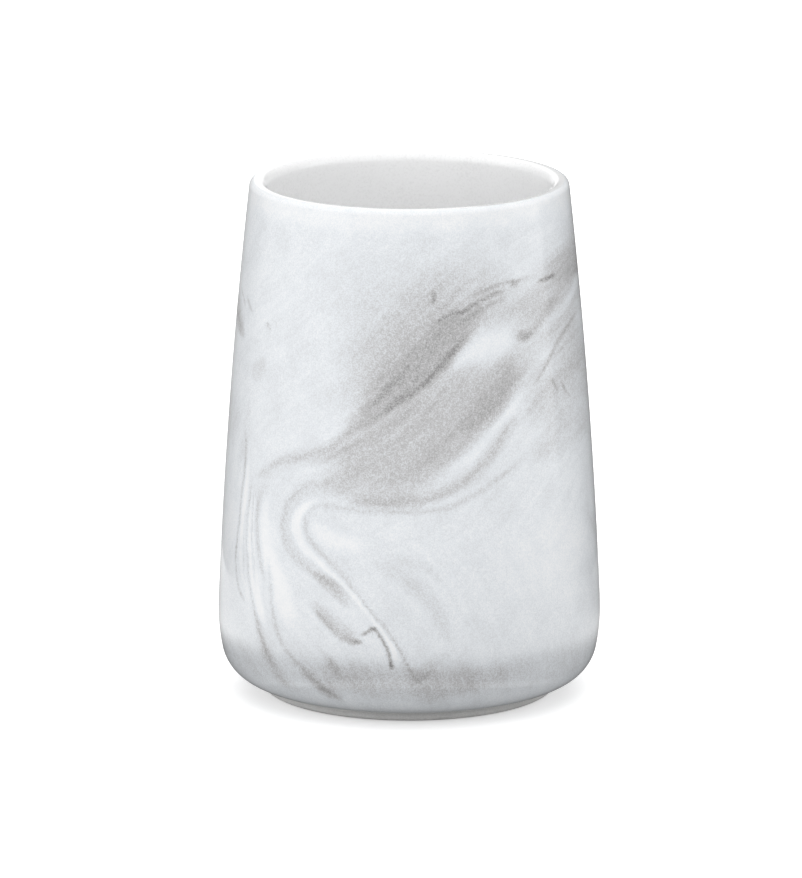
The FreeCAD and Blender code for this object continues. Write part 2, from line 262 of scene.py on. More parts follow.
class Turning:
    """A section drawn point by point in the XZ plane, then turned about the axis."""

    def __init__(self, radius, level):
        self.mesh = bmesh.new()
        self.first = self.tip = self.mesh.verts.new((radius, 0, level))

    def arc(self, centre, turn, steps):
        """Carries the last point round a centre, clockwise for a positive turn."""
        result = bmesh.ops.spin(
            self.mesh,
            geom=[self.tip],
            cent=(centre[0], 0, centre[1]),
            axis=(0, 1, 0),
            angle=turn,
            steps=steps,
        )
        self.tip = next(item for item in result["geom_last"] if isinstance(item, bmesh.types.BMVert))

    def follow(self, arcs, steps):
        """Carries the last point along a chain of arcs."""
        for (centre, turn), count in zip(arcs, steps):
            self.arc(centre, turn, count)

    def retrace(self, arcs, steps):
        """Carries the last point along the same chain from its far end back."""
        self.follow([(centre, -turn) for centre, turn in reversed(arcs)], reversed(steps))

    def line(self, radius, level, steps=1):
        """Carries the last point straight to a place."""
        stride = (Vector((radius, 0, level)) - self.tip.co) / steps
        for _ in range(steps):
            made = bmesh.ops.extrude_vert_indiv(self.mesh, verts=[self.tip])["verts"][0]
            made.co = self.tip.co + stride
            self.tip = made

    def close(self):
        """Joins the last point to the first."""
        self.mesh.edges.new((self.tip, self.first))

    def turned(self, name, steps=STEPS_ROUND):
        """The finished piece: spun, merged at its seam and poles, with its faces outwards."""
        bm = self.mesh
        section = bm.verts[:] + bm.edges[:]
        bmesh.ops.spin(
            bm, geom=section, cent=(0, 0, 0), axis=(0, 0, 1), angle=2 * math.pi, steps=steps, use_merge=True
        )
        return finished_piece(name, bm)


def finished_piece(name, bm):
    """A smooth-shaded object from a bmesh, at the origin."""
    bmesh.ops.remove_doubles(bm, verts=bm.verts[:], dist=MERGE_DISTANCE)
    bmesh.ops.recalc_face_normals(bm, faces=bm.faces[:])
    mesh = bpy.data.meshes.new(name)
    bm.to_mesh(mesh)
    bm.free()
    mesh.shade_smooth()
    mesh.set_sharp_from_angle(angle=SHARP_ANGLE)
    piece = bpy.data.objects.new(name, mesh)
    bpy.context.scene.collection.objects.link(piece)
    return piece


def install(piece, node, material):
    """Puts a piece in the place of its CAD node, with its finish."""
    piece.data.materials.append(material)
    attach(piece, BODY)
    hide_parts(node)


# Shader maths


def arithmetic(operation):
    """Two methods that add a Math node: for a value on the left of the sign, and on the right."""

    def on_left(self, other):
        return self.math(operation, self, other)

    def on_right(self, other):
        return self.math(operation, other, self)

    return on_left, on_right


class Wire:
    """A value in a material. Arithmetic on it adds Math nodes."""

    __add__, __radd__ = arithmetic("ADD")
    __sub__, __rsub__ = arithmetic("SUBTRACT")
    __mul__, __rmul__ = arithmetic("MULTIPLY")
    __truediv__, __rtruediv__ = arithmetic("DIVIDE")

    def __init__(self, finish, socket):
        self.finish = finish
        self.socket = socket

    def math(self, operation, *values):
        """A Math node on the given values."""
        return self.finish.add("ShaderNodeMath", {"operation": operation}, dict(enumerate(values)))

    def exp(self):
        """The exponential of the value."""
        return self.math("EXPONENT", self)

    def smooth(self, start, end):
        """Nought at start, one at end, eased between them."""
        sockets = {"Value": self, "From Min": start, "From Max": end}
        return self.finish.add("ShaderNodeMapRange", {"interpolation_type": "SMOOTHSTEP"}, sockets)

    def clamp(self):
        """The value held between nought and one."""
        return self.finish.add("ShaderNodeClamp", {}, {"Value": self})


def linear(shown):
    """A colour as written for a screen, in the linear light that shaders use, with full alpha."""
    return [c / 12.92 if c <= 0.04045 else ((c + 0.055) / 1.055) ** 2.4 for c in shown] + [1.0]


def darker(shown, share):
    """A colour as written for a screen, brought down to a share of its levels."""
    return [share * c for c in shown]


class Finish:
    """A material being built: one surface shader and the nodes that feed it."""

    def __init__(self, name):
        self.material = bpy.data.materials.new(name)
        self.material.use_nodes = True
        self.clear(self.material.node_tree)

    def clear(self, tree):
        """Starts on an empty node tree."""
        self.tree = tree
        tree.nodes.clear()

    @classmethod
    def on_tree(cls, tree):
        """The same for a node tree that exists, such as a world's."""
        made = cls.__new__(cls)
        made.clear(tree)
        return made

    def add(self, kind, settings, sockets, output=0):
        """A node: its settings first, then its sockets as values or wires. Returns one output."""
        made = self.tree.nodes.new(kind)
        for name, value in settings.items():
            if name == "stops":
                self.set_stops(made.color_ramp, value)
            else:
                setattr(made, name, value)
        for name, value in sockets.items():
            if isinstance(value, Wire):
                self.tree.links.new(value.socket, made.inputs[name])
            else:
                made.inputs[name].default_value = value
        return Wire(self, made.outputs[output]) if made.outputs else None

    def set_stops(self, ramp, stops):
        """Positions and colours of a colour ramp."""
        while len(ramp.elements) < len(stops):
            ramp.elements.new(1.0)
        for element, (position, shade) in zip(ramp.elements, stops):
            element.position = position
            element.color = shade

    def place(self):
        """Object coordinates in metres."""
        return self.add("ShaderNodeTexCoord", {}, {}, "Object")

    def place_mm(self):
        """Object coordinates in millimetres."""
        return self.add("ShaderNodeVectorMath", {"operation": "SCALE"}, {0: self.place(), "Scale": 1 / MM})

    def axis(self, vector, name):
        """The part of a vector along one axis."""
        return self.add("ShaderNodeSeparateXYZ", {}, {0: vector}, name)

    def distance(self, vector):
        """How far a place lies from the origin."""
        return self.add("ShaderNodeVectorMath", {"operation": "LENGTH"}, {0: vector}, "Value")

    def noise(self, where, grain_mm, detail=2.0, roughness=0.5):
        """Noise from nought to one with features of a size in millimetres."""
        sockets = {"Vector": where, "Scale": 1 / grain_mm, "Detail": detail, "Roughness": roughness}
        return self.add("ShaderNodeTexNoise", {}, sockets, "Fac")

    def attribute(self, name):
        """A value painted on the piece's own mesh."""
        return self.add("ShaderNodeAttribute", {"attribute_name": name}, {}, "Fac")

    def tint(self, amount, *stops):
        """A colour between stops. Each stop is a position and a colour as written for a screen."""
        ramp = [(position, linear(shown)) for position, shown in stops]
        return self.add("ShaderNodeValToRGB", {"stops": ramp}, {"Fac": amount}, "Color")

    def seen_directly(self):
        """One for rays that show a background as it is: from the camera, mirrored or through glass."""
        kinds = ("Camera", "Glossy", "Transmission")
        rays = [self.add("ShaderNodeLightPath", {}, {}, f"Is {kind} Ray") for kind in kinds]
        return (rays[0] + rays[1] + rays[2]).clamp()

    def bump(self, height, strength, distance):
        """A surface tilted by a height."""
        sockets = {"Height": height, "Strength": strength, "Distance": distance}
        return self.add("ShaderNodeBump", {}, sockets, "Normal")

    def glaze_wave(self, place):
        """The slow wave that a fired glaze keeps."""
        return self.bump(self.noise(place, grain_mm=6.0, detail=1.0), strength=0.06, distance=0.2 * MM)

    def glow(self, level):
        """A plain glow."""
        return self.add("ShaderNodeEmission", {}, {"Color": level})

    def output(self, shader):
        """The finished material, with this shader on its surface."""
        self.add("ShaderNodeOutputMaterial", {}, {"Surface": shader})
        return self.material

    def surface(self, sockets):
        """The finished material, with these values or wires on its surface shader."""
        return self.output(self.add("ShaderNodeBsdfPrincipled", {}, sockets))


# Marble veining, drawn on the cup as strokes. A place is (degrees round from the front, millimetres above
# the foot). Bands also give a half width in millimetres at each place, and how soft their left and right
# edges are.


class Band(NamedTuple):
    """A soft band of pigment, or of clear white where its density is negative."""

    density: float
    places: list
    softness: tuple = (0.8, 0.8)
    closed: bool = False


class Line(NamedTuple):
    """A fine line of pigment. Lines that run close together are drawn in different layers."""

    layer: int
    density: float
    half_width: float
    places: list


def ring(level, half_width):
    """Places of a band that goes all the way round at one level."""
    return [(turn, level, half_width) for turn in range(0, 361, 30)]


# Swath across the upper front, which rises to the right
UPPER_FRONT = [
    Band(0.23, [
        (-24, 64, 3), (-10, 75, 6.6), (2, 83.5, 8), (15, 89, 7), (28, 92, 5), (42, 92, 4),
    ], (1.0, 0.9)),
    Band(0.09, [(-24, 74, 6), (-6, 88, 9), (10, 94, 8), (26, 97, 5)], (1.0, 1.0)),
    Band(0.42, [
        (-22, 61.8, 0.7), (-16, 65.4, 1.6), (-11, 69, 2.4), (-5, 73, 3.2), (1, 76.6, 3.9),
        (7, 80.2, 4.2), (13, 83.6, 3.8), (18, 86.2, 2.9), (23, 88.2, 1.9), (28, 89.8, 0.9),
    ], (1.0, 0.4)),
    Band(0.25, [
        (-13, 67, 0.7), (-7, 69.8, 1.4), (-2, 72.4, 1.9), (3, 75, 2.2), (8, 77.9, 2.3), (13, 80.8, 2.1),
        (17, 83.8, 1.4), (22, 86.6, 0.8),
    ], (1.3, 0.4)),
    Band(0.10, [
        (-4, 70.8, 0.6), (0, 72.6, 1.2), (4, 74.8, 1.1), (9, 77.4, 0.9), (12, 79.2, 1.2),
        (15, 81.4, 1.1), (18, 84, 0.6),
    ]),
]

# Dark lobe below the swath, with the white that parts the two and its own light lower edge
LOBE = [
    Band(0.34, [
        (-38, 53, 1), (-28, 55.4, 2.6), (-18, 58, 5), (-8, 60.6, 7.4), (1, 63.4, 8.8), (9, 66.4, 8.8),
        (16, 68.8, 7.8), (23, 71, 6.4), (29, 73.2, 4.8), (35, 75.6, 3.6), (42, 78, 2.4), (50, 80, 1.2),
    ], (0.6, 0.5)),
    Band(0.32, [
        (36, 80, 0.6), (33.4, 75.6, 1.6), (30.4, 71.6, 2.4), (26, 68, 2.7), (20.6, 65.4, 2.1),
        (14, 62.8, 0.9),
    ], (0.8, 1.2)),
    Band(0.14, [
        (-4, 53.6, 0.6), (4, 56, 1.2), (11, 58.4, 1.3), (18, 61.4, 1.2), (24, 64.4, 0.8),
    ], (1.0, 0.6)),
    Band(-0.10, [(-18, 62.4, 0.5), (-8, 66.6, 0.8), (2, 71, 0.8), (9, 74.4, 0.9), (15, 77.4, 1)]),
    Band(-0.55, [
        (11, 76, 0.6), (18, 79.2, 1.6), (25, 81.6, 2.3), (31, 82.8, 2.4), (38, 82.6, 1.4),
    ], (0.8, 0.7)),
    Band(0.17, [(-30, 51.6, 1), (-20, 52, 2), (-8, 52.2, 2.6), (4, 53, 2.4), (13, 55.4, 1.4)]),
    Band(-0.45, [
        (10, 54.6, 0.5), (16, 56.8, 0.9), (22, 59.6, 1.2), (28, 62.8, 1.4), (35, 67.4, 1.6),
        (42, 72, 1.3),
    ], (0.6, 0.6)),
]

# Veils and white channels that turn on the left and run down to the foot
FLOWING_FRONT = [
    Band(0.20, [
        (40, 68, 0.7), (34, 64.2, 1.4), (28, 59.6, 1.5), (21, 55.3, 1.3), (14, 52, 1.1), (5, 49.9, 1),
        (-5, 49.3, 1.1), (-14, 49.4, 1), (-23, 48.9, 0.6),
    ]),
    Band(0.10, [
        (0, 51.6, 0.8), (-12, 51, 1.4), (-24, 51, 1.6), (-33, 50, 1.5), (-38.5, 47, 1.5),
        (-40.6, 43, 1.5), (-40, 39.4, 1.5), (-36, 36, 1.5), (-30, 33.6, 1.6), (-24, 31.6, 1.9),
        (-19, 28.6, 1.7), (-15, 25, 0.9),
    ]),
    Band(0.12, [(-32, 34, 0.6), (-27, 31.8, 1.3), (-21.6, 29.4, 1.6), (-17, 26.6, 1)], (0.9, 0.5)),
    Band(-0.9, [
        (-24, 48, 0.3), (-30, 47.5, 0.7), (-34.4, 46, 1), (-36.6, 43.4, 1.1), (-36, 40.8, 1.2),
        (-33, 37.7, 0.9), (-27, 34.6, 0.7), (-20, 31, 0.55), (-12.6, 26.2, 0.5), (-7.4, 21.4, 0.6),
        (-4.2, 16, 0.6), (-2, 11.6, 0.4),
    ], (0.6, 0.6)),
    Band(-0.9, [
        (-55, 50, 0.4), (-56.4, 44, 1), (-57, 38, 1.2), (-56, 32, 1.3), (-53.4, 27, 1.3), (-50, 22, 1.1),
        (-46.6, 17.6, 0.6),
    ], (0.6, 0.6)),
    Band(-0.85, [
        (-49, 48, 0.6), (-50.4, 44, 1.2), (-49.6, 39, 1.7), (-47, 33.6, 2.2), (-43, 28.6, 2.4),
        (-38.6, 23.8, 2.2), (-34, 18.6, 1.4),
    ], (0.7, 0.7)),
    Band(-0.8, [
        (-60.4, 58, 0.4), (-60.6, 50, 0.8), (-61.6, 43, 0.8), (-62.6, 36, 0.9), (-61.6, 30, 0.8),
        (-58.6, 26, 0.5),
    ], (0.6, 0.6)),
    Band(-0.75, [
        (-31, 45, 0.5), (-29, 42.6, 1.4), (-25, 41, 2.0), (-18, 40, 1.8), (-10, 41.6, 1),
    ], (1.0, 1.0)),
    Band(-0.8, [(-12, 24.6, 0.3), (-8, 22, 0.6), (-5, 18, 0.8), (-3, 14, 0.6)], (0.6, 0.6)),
    Band(-0.25, [(-44, 52.6, 0.8), (-36, 54.2, 1.2), (-27, 55.4, 1.2), (-19, 57, 0.8)], (0.9, 0.9)),
    Band(0.09, [
        (-20, 63.4, 1), (-27, 59.6, 1.7), (-36, 57.2, 1.6), (-44, 55.2, 1.6), (-50, 52.8, 1.4),
        (-56, 51, 0.8),
    ]),
    Band(0.10, [
        (-46, 53, 0.6), (-51, 49, 1.4), (-53.4, 44, 1.2), (-53, 38, 1.1), (-50, 31, 1), (-46.4, 25, 0.8),
    ]),
    Band(0.16, [(-54, 23, 0.6), (-51, 18.4, 1.3), (-47.4, 13.8, 1.7), (-43, 9.4, 1.4), (-39, 6, 0.8)]),
    Band(0.18, [(-37, 14, 0.7), (-31, 10.4, 1.3), (-25.4, 7.6, 1.5), (-20, 5, 1)]),
    Band(0.20, [
        (-31, 26.6, 0.6), (-27.4, 25, 1.3), (-23, 22.6, 1.5), (-18.4, 20.9, 1.1), (-14, 20, 0.5),
    ], (1.0, 0.5)),
    Band(0.08, [
        (-15, 35, 0.8), (-8, 35, 1.6), (-2.4, 33.4, 1.7), (3, 30.4, 1.6), (7.4, 26.6, 1.5),
        (10.4, 22, 1.3), (11, 17, 0.8),
    ]),
    Band(0.06, [(-8, 38, 0.6), (-1, 37, 1), (6, 35, 1), (12, 31, 0.7)]),
    Band(0.14, [(-27, 17.6, 0.5), (-23, 13.6, 1.2), (-19, 10.4, 1.4), (-14.6, 7.8, 1)]),
    Band(0.12, [(-2, 11.6, 0.6), (3, 12.6, 1.1), (8, 15.2, 1.2), (14, 18.2, 0.8)]),
    Band(0.10, [(-4, 8, 0.8), (6, 7, 1.4), (18, 9, 1.2), (28, 8, 0.8)]),
]

# Bands that carry on round the right side
RIGHT_SIDE = [
    Band(0.26, [
        (31, 89, 2.4), (44, 89, 4.4), (56, 90.4, 5.4), (68, 92.6, 5.8), (84, 94.4, 5.4), (102, 92, 5),
        (118, 86, 5), (134, 78, 5), (150, 68, 4.4), (168, 59.6, 3),
    ], (0.9, 0.7)),
    Band(0.22, [
        (50, 93, 1), (60, 94.6, 2.4), (72, 94.4, 3), (86, 93.4, 3), (100, 91, 2.6), (116, 85, 1.6),
    ]),
    Band(0.24, [
        (36.4, 83.4, 0.6), (39.4, 82.4, 1.1), (43, 82.4, 1.2), (48, 84, 1), (56, 87.6, 0.9),
        (62, 89, 0.6),
    ], (0.8, 0.6)),
    Band(0.16, [
        (40, 79, 0.6), (50, 80.2, 1.6), (60, 82.8, 1.9), (70, 84.6, 2.2), (84, 86, 2.5), (98, 84, 2.5),
        (114, 77.6, 2.3), (130, 69, 2.1), (144, 61, 1.8),
    ]),
    Band(-0.5, [
        (38, 81, 0.5), (47, 82.6, 0.9), (55, 84.2, 1), (62, 85.6, 1), (70, 87.4, 1), (80, 89.4, 1.1),
        (94, 88, 1.2), (108, 83.4, 1.2), (124, 75.6, 1.2), (140, 66, 1.1), (156, 57.6, 0.9),
    ], (0.6, 0.6)),
    Band(0.22, [
        (34, 64, 2), (44, 68, 5), (55, 71, 6.4), (68, 72, 6.4), (84, 70, 5), (98, 64, 3.6), (110, 58, 2),
    ], (1, 1)),
    Band(0.16, [(33, 80, 1), (40, 82, 3), (48, 84, 3.2), (58, 86.6, 2)], (0.9, 0.9)),
    Band(0.16, [(38, 57, 1), (48, 57.6, 2.6), (60, 60, 3.4), (74, 60, 3), (88, 55, 2)], (1, 1)),
    Band(-0.3, [(42, 75.6, 0.6), (50, 77.4, 1), (58, 80.4, 0.9), (66, 82.6, 0.5)]),
    Band(0.10, [(66, 44, 1.2), (78, 38, 2), (92, 32.6, 2), (105, 27, 2), (114, 19, 1.4)]),
]

# The same veining, carried across the back
BACK = [
    Band(0.20, [(94, 92, 2), (110, 89, 4), (126, 82, 4.6), (140, 73.6, 4.4), (153, 65, 2.6)], (1, 0.5)),
    Band(0.30, [
        (98, 89.6, 0.8), (112, 85.4, 1.7), (126, 78.8, 2.1), (140, 70.8, 1.9), (151, 64, 0.9),
    ], (1.2, 0.4)),
    Band(0.30, [
        (104, 75, 1), (116, 70.4, 3), (128, 64.4, 4.6), (141, 58.6, 4.6), (154, 55.2, 3.2),
        (166, 53.6, 1.4),
    ], (0.5, 0.5)),
    Band(-0.7, [
        (112, 77.4, 0.5), (124, 71.4, 1), (137, 64.8, 1.1), (150, 59.4, 0.9), (162, 57, 0.5),
    ], (0.6, 0.6)),
    Band(0.10, [
        (150, 52, 0.9), (165, 50.6, 1.5), (180, 49.4, 1.6), (190, 47.4, 1.5), (197, 43.6, 1.5),
        (199.6, 39, 1.5), (197, 34.4, 1.5), (190, 30.6, 1.5), (180, 27, 1.7), (172, 22, 1.6),
        (166, 15, 1.2), (162, 8, 0.8),
    ]),
    Band(-0.85, [
        (166, 48.6, 0.3), (178, 47, 0.8), (188, 44.8, 1.1), (194, 41.6, 1.1), (194.8, 38.4, 1.1),
        (190.4, 34.4, 1), (182, 30.6, 0.9), (174, 25.4, 0.8), (167, 18, 0.8), (163, 11, 0.4),
    ], (0.6, 0.6)),
    Band(0.10, [
        (176, 57.4, 1), (190, 56, 1.7), (202, 53.6, 1.6), (210, 49, 1.4), (214, 41, 1.2), (212, 33, 1.1),
        (206, 25, 1),
    ]),
    Band(0.16, [(219, 22, 0.7), (214, 15, 1.3), (208, 9, 1.4), (203, 5, 0.8)]),
    Band(0.20, [(123, 31.6, 0.6), (128, 28.6, 1.3), (134, 26.8, 1.4), (140, 26.6, 0.7)], (1.0, 0.5)),
]

# Wide, faint haze over the back
BACK_HAZE = [
    Band(0.22, [
        (148, 98, 2.5), (160, 89, 5), (174, 80, 7), (190, 72, 7), (206, 66.6, 5), (220, 64, 2.5),
    ], (0.5, 0.9)),
    Band(0.18, [
        (156, 85, 1), (168, 76.6, 2), (182, 69.4, 2.6), (196, 64.6, 2), (210, 62.2, 1),
    ], (0.9, 0.9)),
    Band(0.12, [(176, 99, 4), (194, 92, 6), (214, 86, 5), (232, 84, 3)], (1.0, 1.0)),
    Band(0.15, [(250, 66, 3), (264, 60, 5), (280, 60, 4.6), (292, 66, 2.4)], (1.0, 0.8)),
    Band(-0.45, [
        (156, 79, 0.6), (168, 71, 1.1), (182, 63.8, 1.4), (197, 59.4, 1.2), (212, 57.6, 0.8),
    ], (0.7, 0.7)),
]

# Bands that come round from the back to the left edge
LEFT_SIDE = [
    Band(0.16, [
        (206, 101, 1.5), (222, 96, 3), (240, 90.6, 4), (256, 86, 4.2), (270, 83.4, 4), (281, 82, 3),
        (291, 79.4, 1.2),
    ], (1, 0.6)),
    Band(0.26, [
        (262, 86.6, 1), (272, 84.4, 2), (280, 82, 2.2), (287, 79.4, 1.2), (291, 78.4, 0.5),
    ], (0.9, 0.5)),
    Band(-0.6, [(214, 93, 0.6), (230, 88, 1.2), (248, 82, 1.3), (264, 78, 1.2), (276, 75.6, 0.6)]),
    Band(0.13, [(216, 88, 0.8), (232, 82.6, 1.6), (250, 76, 1.8), (266, 72.4, 1.6), (280, 71.6, 1)]),
    Band(0.18, [(296, 70.6, 0.6), (300, 72.4, 1.6), (304, 74.6, 1.4), (306, 76.4, 0.6)]),
    Band(0.07, [(291, 47, 0.6), (295, 55, 1.5), (297, 62, 1.6), (298, 68, 1)]),
]

# Faint haze where the bands turn away on the right
RIGHT_HAZE = [
    Band(0.13, [(20, 88.4, 2), (30, 87.6, 3), (40, 88, 3.2), (54, 86, 3)], (1.0, 1.0)),
    Band(0.14, [(48, 85, 3), (60, 81, 5), (70, 79, 6), (86, 78, 5)], (1.0, 1.0)),
]

# Clear ground between the veins, low on both sides, made whiter there also as painted reflection of the
# light at the sides
CLEARINGS = [
    Band(-0.50, [(-52, 50, 1.5), (-50, 42, 3), (-48, 34, 4), (-45, 27, 4), (-40, 20, 2.5)]),
    Band(-0.50, [(-61, 50, 2), (-61, 42, 2.6), (-60, 34, 2.6), (-57, 27, 2.2), (-52, 20, 1.4)]),
    Band(-0.45, [(-75, 62, 4), (-73, 46, 5.5), (-72, 32, 5.5), (-71, 18, 4)]),
    Band(-0.45, [(24, 34, 5), (42, 35, 8), (58, 34, 8), (74, 36, 6)]),
]

# White all round the rim, and a thin grey band all round the foot that is denser in front: painted shade,
# darker towards the foot
RIM_AND_FOOT = [
    Band(-0.6, ring(108.4, 3), (0.6, 0.6), closed=True),
    Band(0.09, ring(10.6, 3.6), (0.5, 0.5), closed=True),
    # Painted shade in front, low on the wall
    Band(0.17, [
        (-36, 10, 1.2), (-24, 11.6, 2.8), (-12, 11.4, 3.4), (0, 10.8, 3.2), (12, 10.6, 2.6),
        (26, 11, 1.8), (42, 11.6, 1),
    ], (0.7, 0.7)),
]

# The order in which the bands are laid over each other
BANDS = (
    UPPER_FRONT + LOBE + FLOWING_FRONT + RIGHT_SIDE + BACK + BACK_HAZE + LEFT_SIDE + RIGHT_HAZE + CLEARINGS
    + RIM_AND_FOOT
)

# Fine lines
LINES = [
    # Striated top of the upper swath
    Line(0, 0.26, 0.60, [(5, 85), (12, 88), (18, 89), (24, 90.5), (30, 92), (36, 92.4)]),
    Line(1, 0.24, 0.50, [(18, 91.2), (24, 92.4), (29, 93.3), (35, 94), (40, 93.8), (47, 94.6)]),
    Line(1, 0.18, 0.55, [(16, 85.6), (22, 88), (28, 89.6), (36, 91)]),
    Line(0, 0.50, 0.50, [(48, 92.6), (52, 92.9), (56, 93.2), (61, 93.9)]),
    Line(0, 0.34, 0.80, [(35.6, 93), (38, 93.2), (40.6, 92.8)]),
    Line(0, 0.26, 0.80, [(37, 83), (40, 82.2), (43, 82), (47, 84)]),
    Line(0, 0.42, 0.65, [(7.0, 89.6), (7.8, 92.2), (8.8, 94)]),
    Line(1, 0.20, 0.60, [(-10, 67), (-4, 70), (2, 72.8), (7, 75.4), (12, 78.2), (16, 81.2), (20, 84)]),
    # Bands below the lobe, with the turn on the left and the run to the foot
    Line(0, 0.10, 0.90, [
        (38, 66.8), (33, 63.5), (29, 60), (25, 57), (20, 54.5), (15, 52), (10, 50.5), (3, 49),
        (-5, 48.7), (-13, 48.9), (-22, 48.4),
    ]),
    Line(1, 0.13, 0.65, [
        (40, 57.6), (33, 54.5), (27, 52.5), (22, 50.8), (16, 49), (10, 47.8), (3, 47.2), (-8, 47.2),
        (-18, 47.5), (-25, 47.6), (-30.6, 46.6), (-33.2, 44), (-32.8, 41), (-29.4, 38.4), (-25, 36),
        (-21.6, 33.8), (-18, 31), (-13, 27.4),
    ]),
    Line(0, 0.10, 0.85, [
        (-18, 52.2), (-27, 52.2), (-34.6, 50.6), (-39.6, 47.4), (-42, 43), (-41.4, 39), (-37.6, 35.6),
        (-32, 33.2), (-26, 31.4), (-21, 28.4), (-17, 25.2),
    ]),
    Line(2, 0.16, 0.60, [(-31, 33.6), (-26.6, 32), (-23.6, 31), (-20, 29)]),
    Line(0, 0.12, 0.85, [
        (-13, 68), (-20, 63.4), (-25, 60.2), (-31, 58.2), (-40, 56.4), (-46, 54.8), (-51, 52.4),
        (-57, 50.6),
    ]),
    Line(1, 0.13, 0.70, [
        (-51.6, 50.6), (-53.8, 45), (-53.6, 40), (-52.6, 35.4), (-50.8, 31.6), (-48.6, 28),
    ]),
    Line(0, 0.15, 0.70, [
        (-48.8, 36), (-47, 30), (-45.6, 24.6), (-43, 19.6), (-39.4, 15.8), (-36, 13.4), (-31, 10.4),
        (-26, 7.8), (-20, 5),
    ]),
    Line(1, 0.20, 0.80, [(-31, 10.6), (-26.4, 8), (-21, 5.4)]),
    # Upright lines on the left
    Line(0, 0.18, 0.55, [
        (-64.4, 62), (-62.6, 55.6), (-62.6, 51), (-63.6, 46.6), (-64.4, 41), (-65.8, 36), (-65.8, 31),
        (-64, 27), (-61, 24.4), (-58, 23),
    ]),
    Line(1, 0.14, 0.55, [(-65.4, 37), (-66, 33.6), (-65.2, 30)]),
    Line(1, 0.15, 0.60, [
        (-57.6, 52), (-58.4, 46), (-59.4, 40), (-59, 35), (-58, 31), (-56.4, 27), (-54, 22.6),
        (-51, 18.8), (-48, 14.8), (-44, 10),
    ]),
    Line(2, 0.11, 0.50, [(-60.2, 45), (-61, 38), (-60.6, 31), (-59, 26)]),
    Line(0, 0.11, 0.50, [(-55.6, 50), (-56.6, 44), (-56.4, 37), (-55, 31), (-52.6, 25)]),
    Line(0, 0.18, 0.80, [(-52, 20), (-48.4, 15.4), (-44.4, 10.6)]),
    # Hooks near the foot
    Line(2, 0.22, 0.46, [
        (-17, 30.2), (-13, 27.2), (-9, 23.8), (-4.8, 20), (-1.8, 16.6), (0.2, 13.4), (1.8, 11.4),
        (4.6, 12), (7.6, 14.2),
    ]),
    Line(0, 0.26, 0.65, [
        (-30, 25.4), (-26.6, 23.4), (-23.6, 21.3), (-20, 19.9), (-16.6, 19.3), (-13.4, 19),
    ]),
    Line(2, 0.46, 0.45, [(-18.6, 19.6), (-16, 19.3), (-14.4, 19.3), (-13.6, 19.6)]),
    Line(1, 0.52, 0.42, [
        (-14.8, 20.2), (-12.6, 21.4), (-10.8, 22.3), (-9, 21.2), (-7, 18.6), (-5.6, 16), (-5, 13.2),
    ]),
    Line(0, 0.46, 0.55, [(-12.4, 21.6), (-10.8, 22.2), (-9.6, 21.8)]),
    Line(0, 0.42, 0.50, [(-5.8, 15.8), (-5.1, 14.4), (-5, 13.2)]),
    Line(0, 0.17, 0.90, [(-26.4, 17), (-22.6, 13.4), (-18.4, 10)]),
    # Right side and back
    Line(0, 0.24, 0.55, [
        (40.6, 70.6), (47, 73.2), (52, 76.2), (56, 78.4), (61, 80.6), (68, 82.2), (78, 84),
    ]),
    Line(1, 0.26, 0.45, [(57, 71.4), (60, 69.2), (64.6, 65.6)]),
    Line(2, 0.24, 0.45, [(51, 73.4), (54, 71), (57, 67.8)]),
    Line(0, 0.22, 0.50, [(96, 93.4), (110, 90), (124, 83.8), (138, 75.6)]),
    Line(1, 0.20, 0.42, [(100, 96), (116, 92.6), (130, 86)]),
    Line(0, 0.20, 0.55, [
        (92, 79), (106, 74.6), (120, 67), (135, 59.4), (150, 53.6), (165, 51.6), (180, 50.6),
        (191, 48.6), (198.6, 44), (201, 39), (198, 33.6), (190, 29.6), (181, 26), (173, 21),
    ]),
    Line(1, 0.17, 0.50, [
        (118, 63), (134, 55.6), (150, 50), (166, 46.2), (180, 44.2), (188, 41.6), (190, 38.8),
        (186, 35.6), (177, 32), (169, 26.6), (161, 18.4), (156, 10),
    ]),
    Line(1, 0.18, 0.55, [
        (174, 58.4), (190, 57), (203, 54.4), (212, 49), (215.6, 41), (213.6, 33), (207, 25), (199, 17),
        (191, 8),
    ]),
    Line(0, 0.20, 0.50, [(222, 62), (224, 52), (226, 42), (224.6, 32), (219, 22), (211, 11)]),
    Line(1, 0.16, 0.50, [(231, 68), (234, 54), (236, 42), (233.6, 30), (227, 19), (219, 8)]),
    Line(0, 0.14, 0.50, [(244, 66), (250, 55), (255, 44), (260, 33), (268, 22), (278, 12)]),
    Line(0, 0.50, 0.42, [(138, 25.6), (142, 26.4), (145.4, 24), (147.8, 20), (149, 15)]),
    Line(1, 0.40, 0.45, [(124, 30.4), (129, 27), (135, 25), (140, 24.8)]),
    Line(0, 0.16, 0.50, [(78, 30), (90, 24.6), (102, 20.4), (110, 13), (114, 6)]),
    Line(0, 0.22, 0.50, [(158, 83), (171, 73.6), (185, 66.6), (199, 62), (213, 60)]),
    # Left edge
    Line(0, 0.30, 0.55, [(236, 92.4), (252, 87.8), (266, 84.6), (278, 82), (286, 79.8)]),
    Line(0, 0.26, 0.50, [(279, 88.4), (284, 86.8), (290, 84)]),
    Line(1, 0.22, 0.45, [(287, 88.2), (291.6, 86), (296, 84)]),
    Line(0, 0.24, 0.45, [(303.6, 83.8), (305.6, 82.8), (307.6, 81.6)]),
]
LAYERS = (0, 1, 2)

# Line that the pigment flowed along, on which its fine streaks lie
FLOW = [
    (3, 4), (-3, 14), (-9, 22.5), (-20, 30.5), (-31, 36.5), (-37, 41), (-36, 46), (-27, 50), (-14, 55.5),
    (0, 62), (12, 70), (24, 78), (38, 84), (55, 88), (75, 90.5), (95, 88.6), (115, 81.6), (135, 70.6),
    (152, 60), (168, 53), (182, 49), (194, 43.6), (197.6, 38), (191, 31.6), (180, 27), (170, 18),
    (162, 7),
]

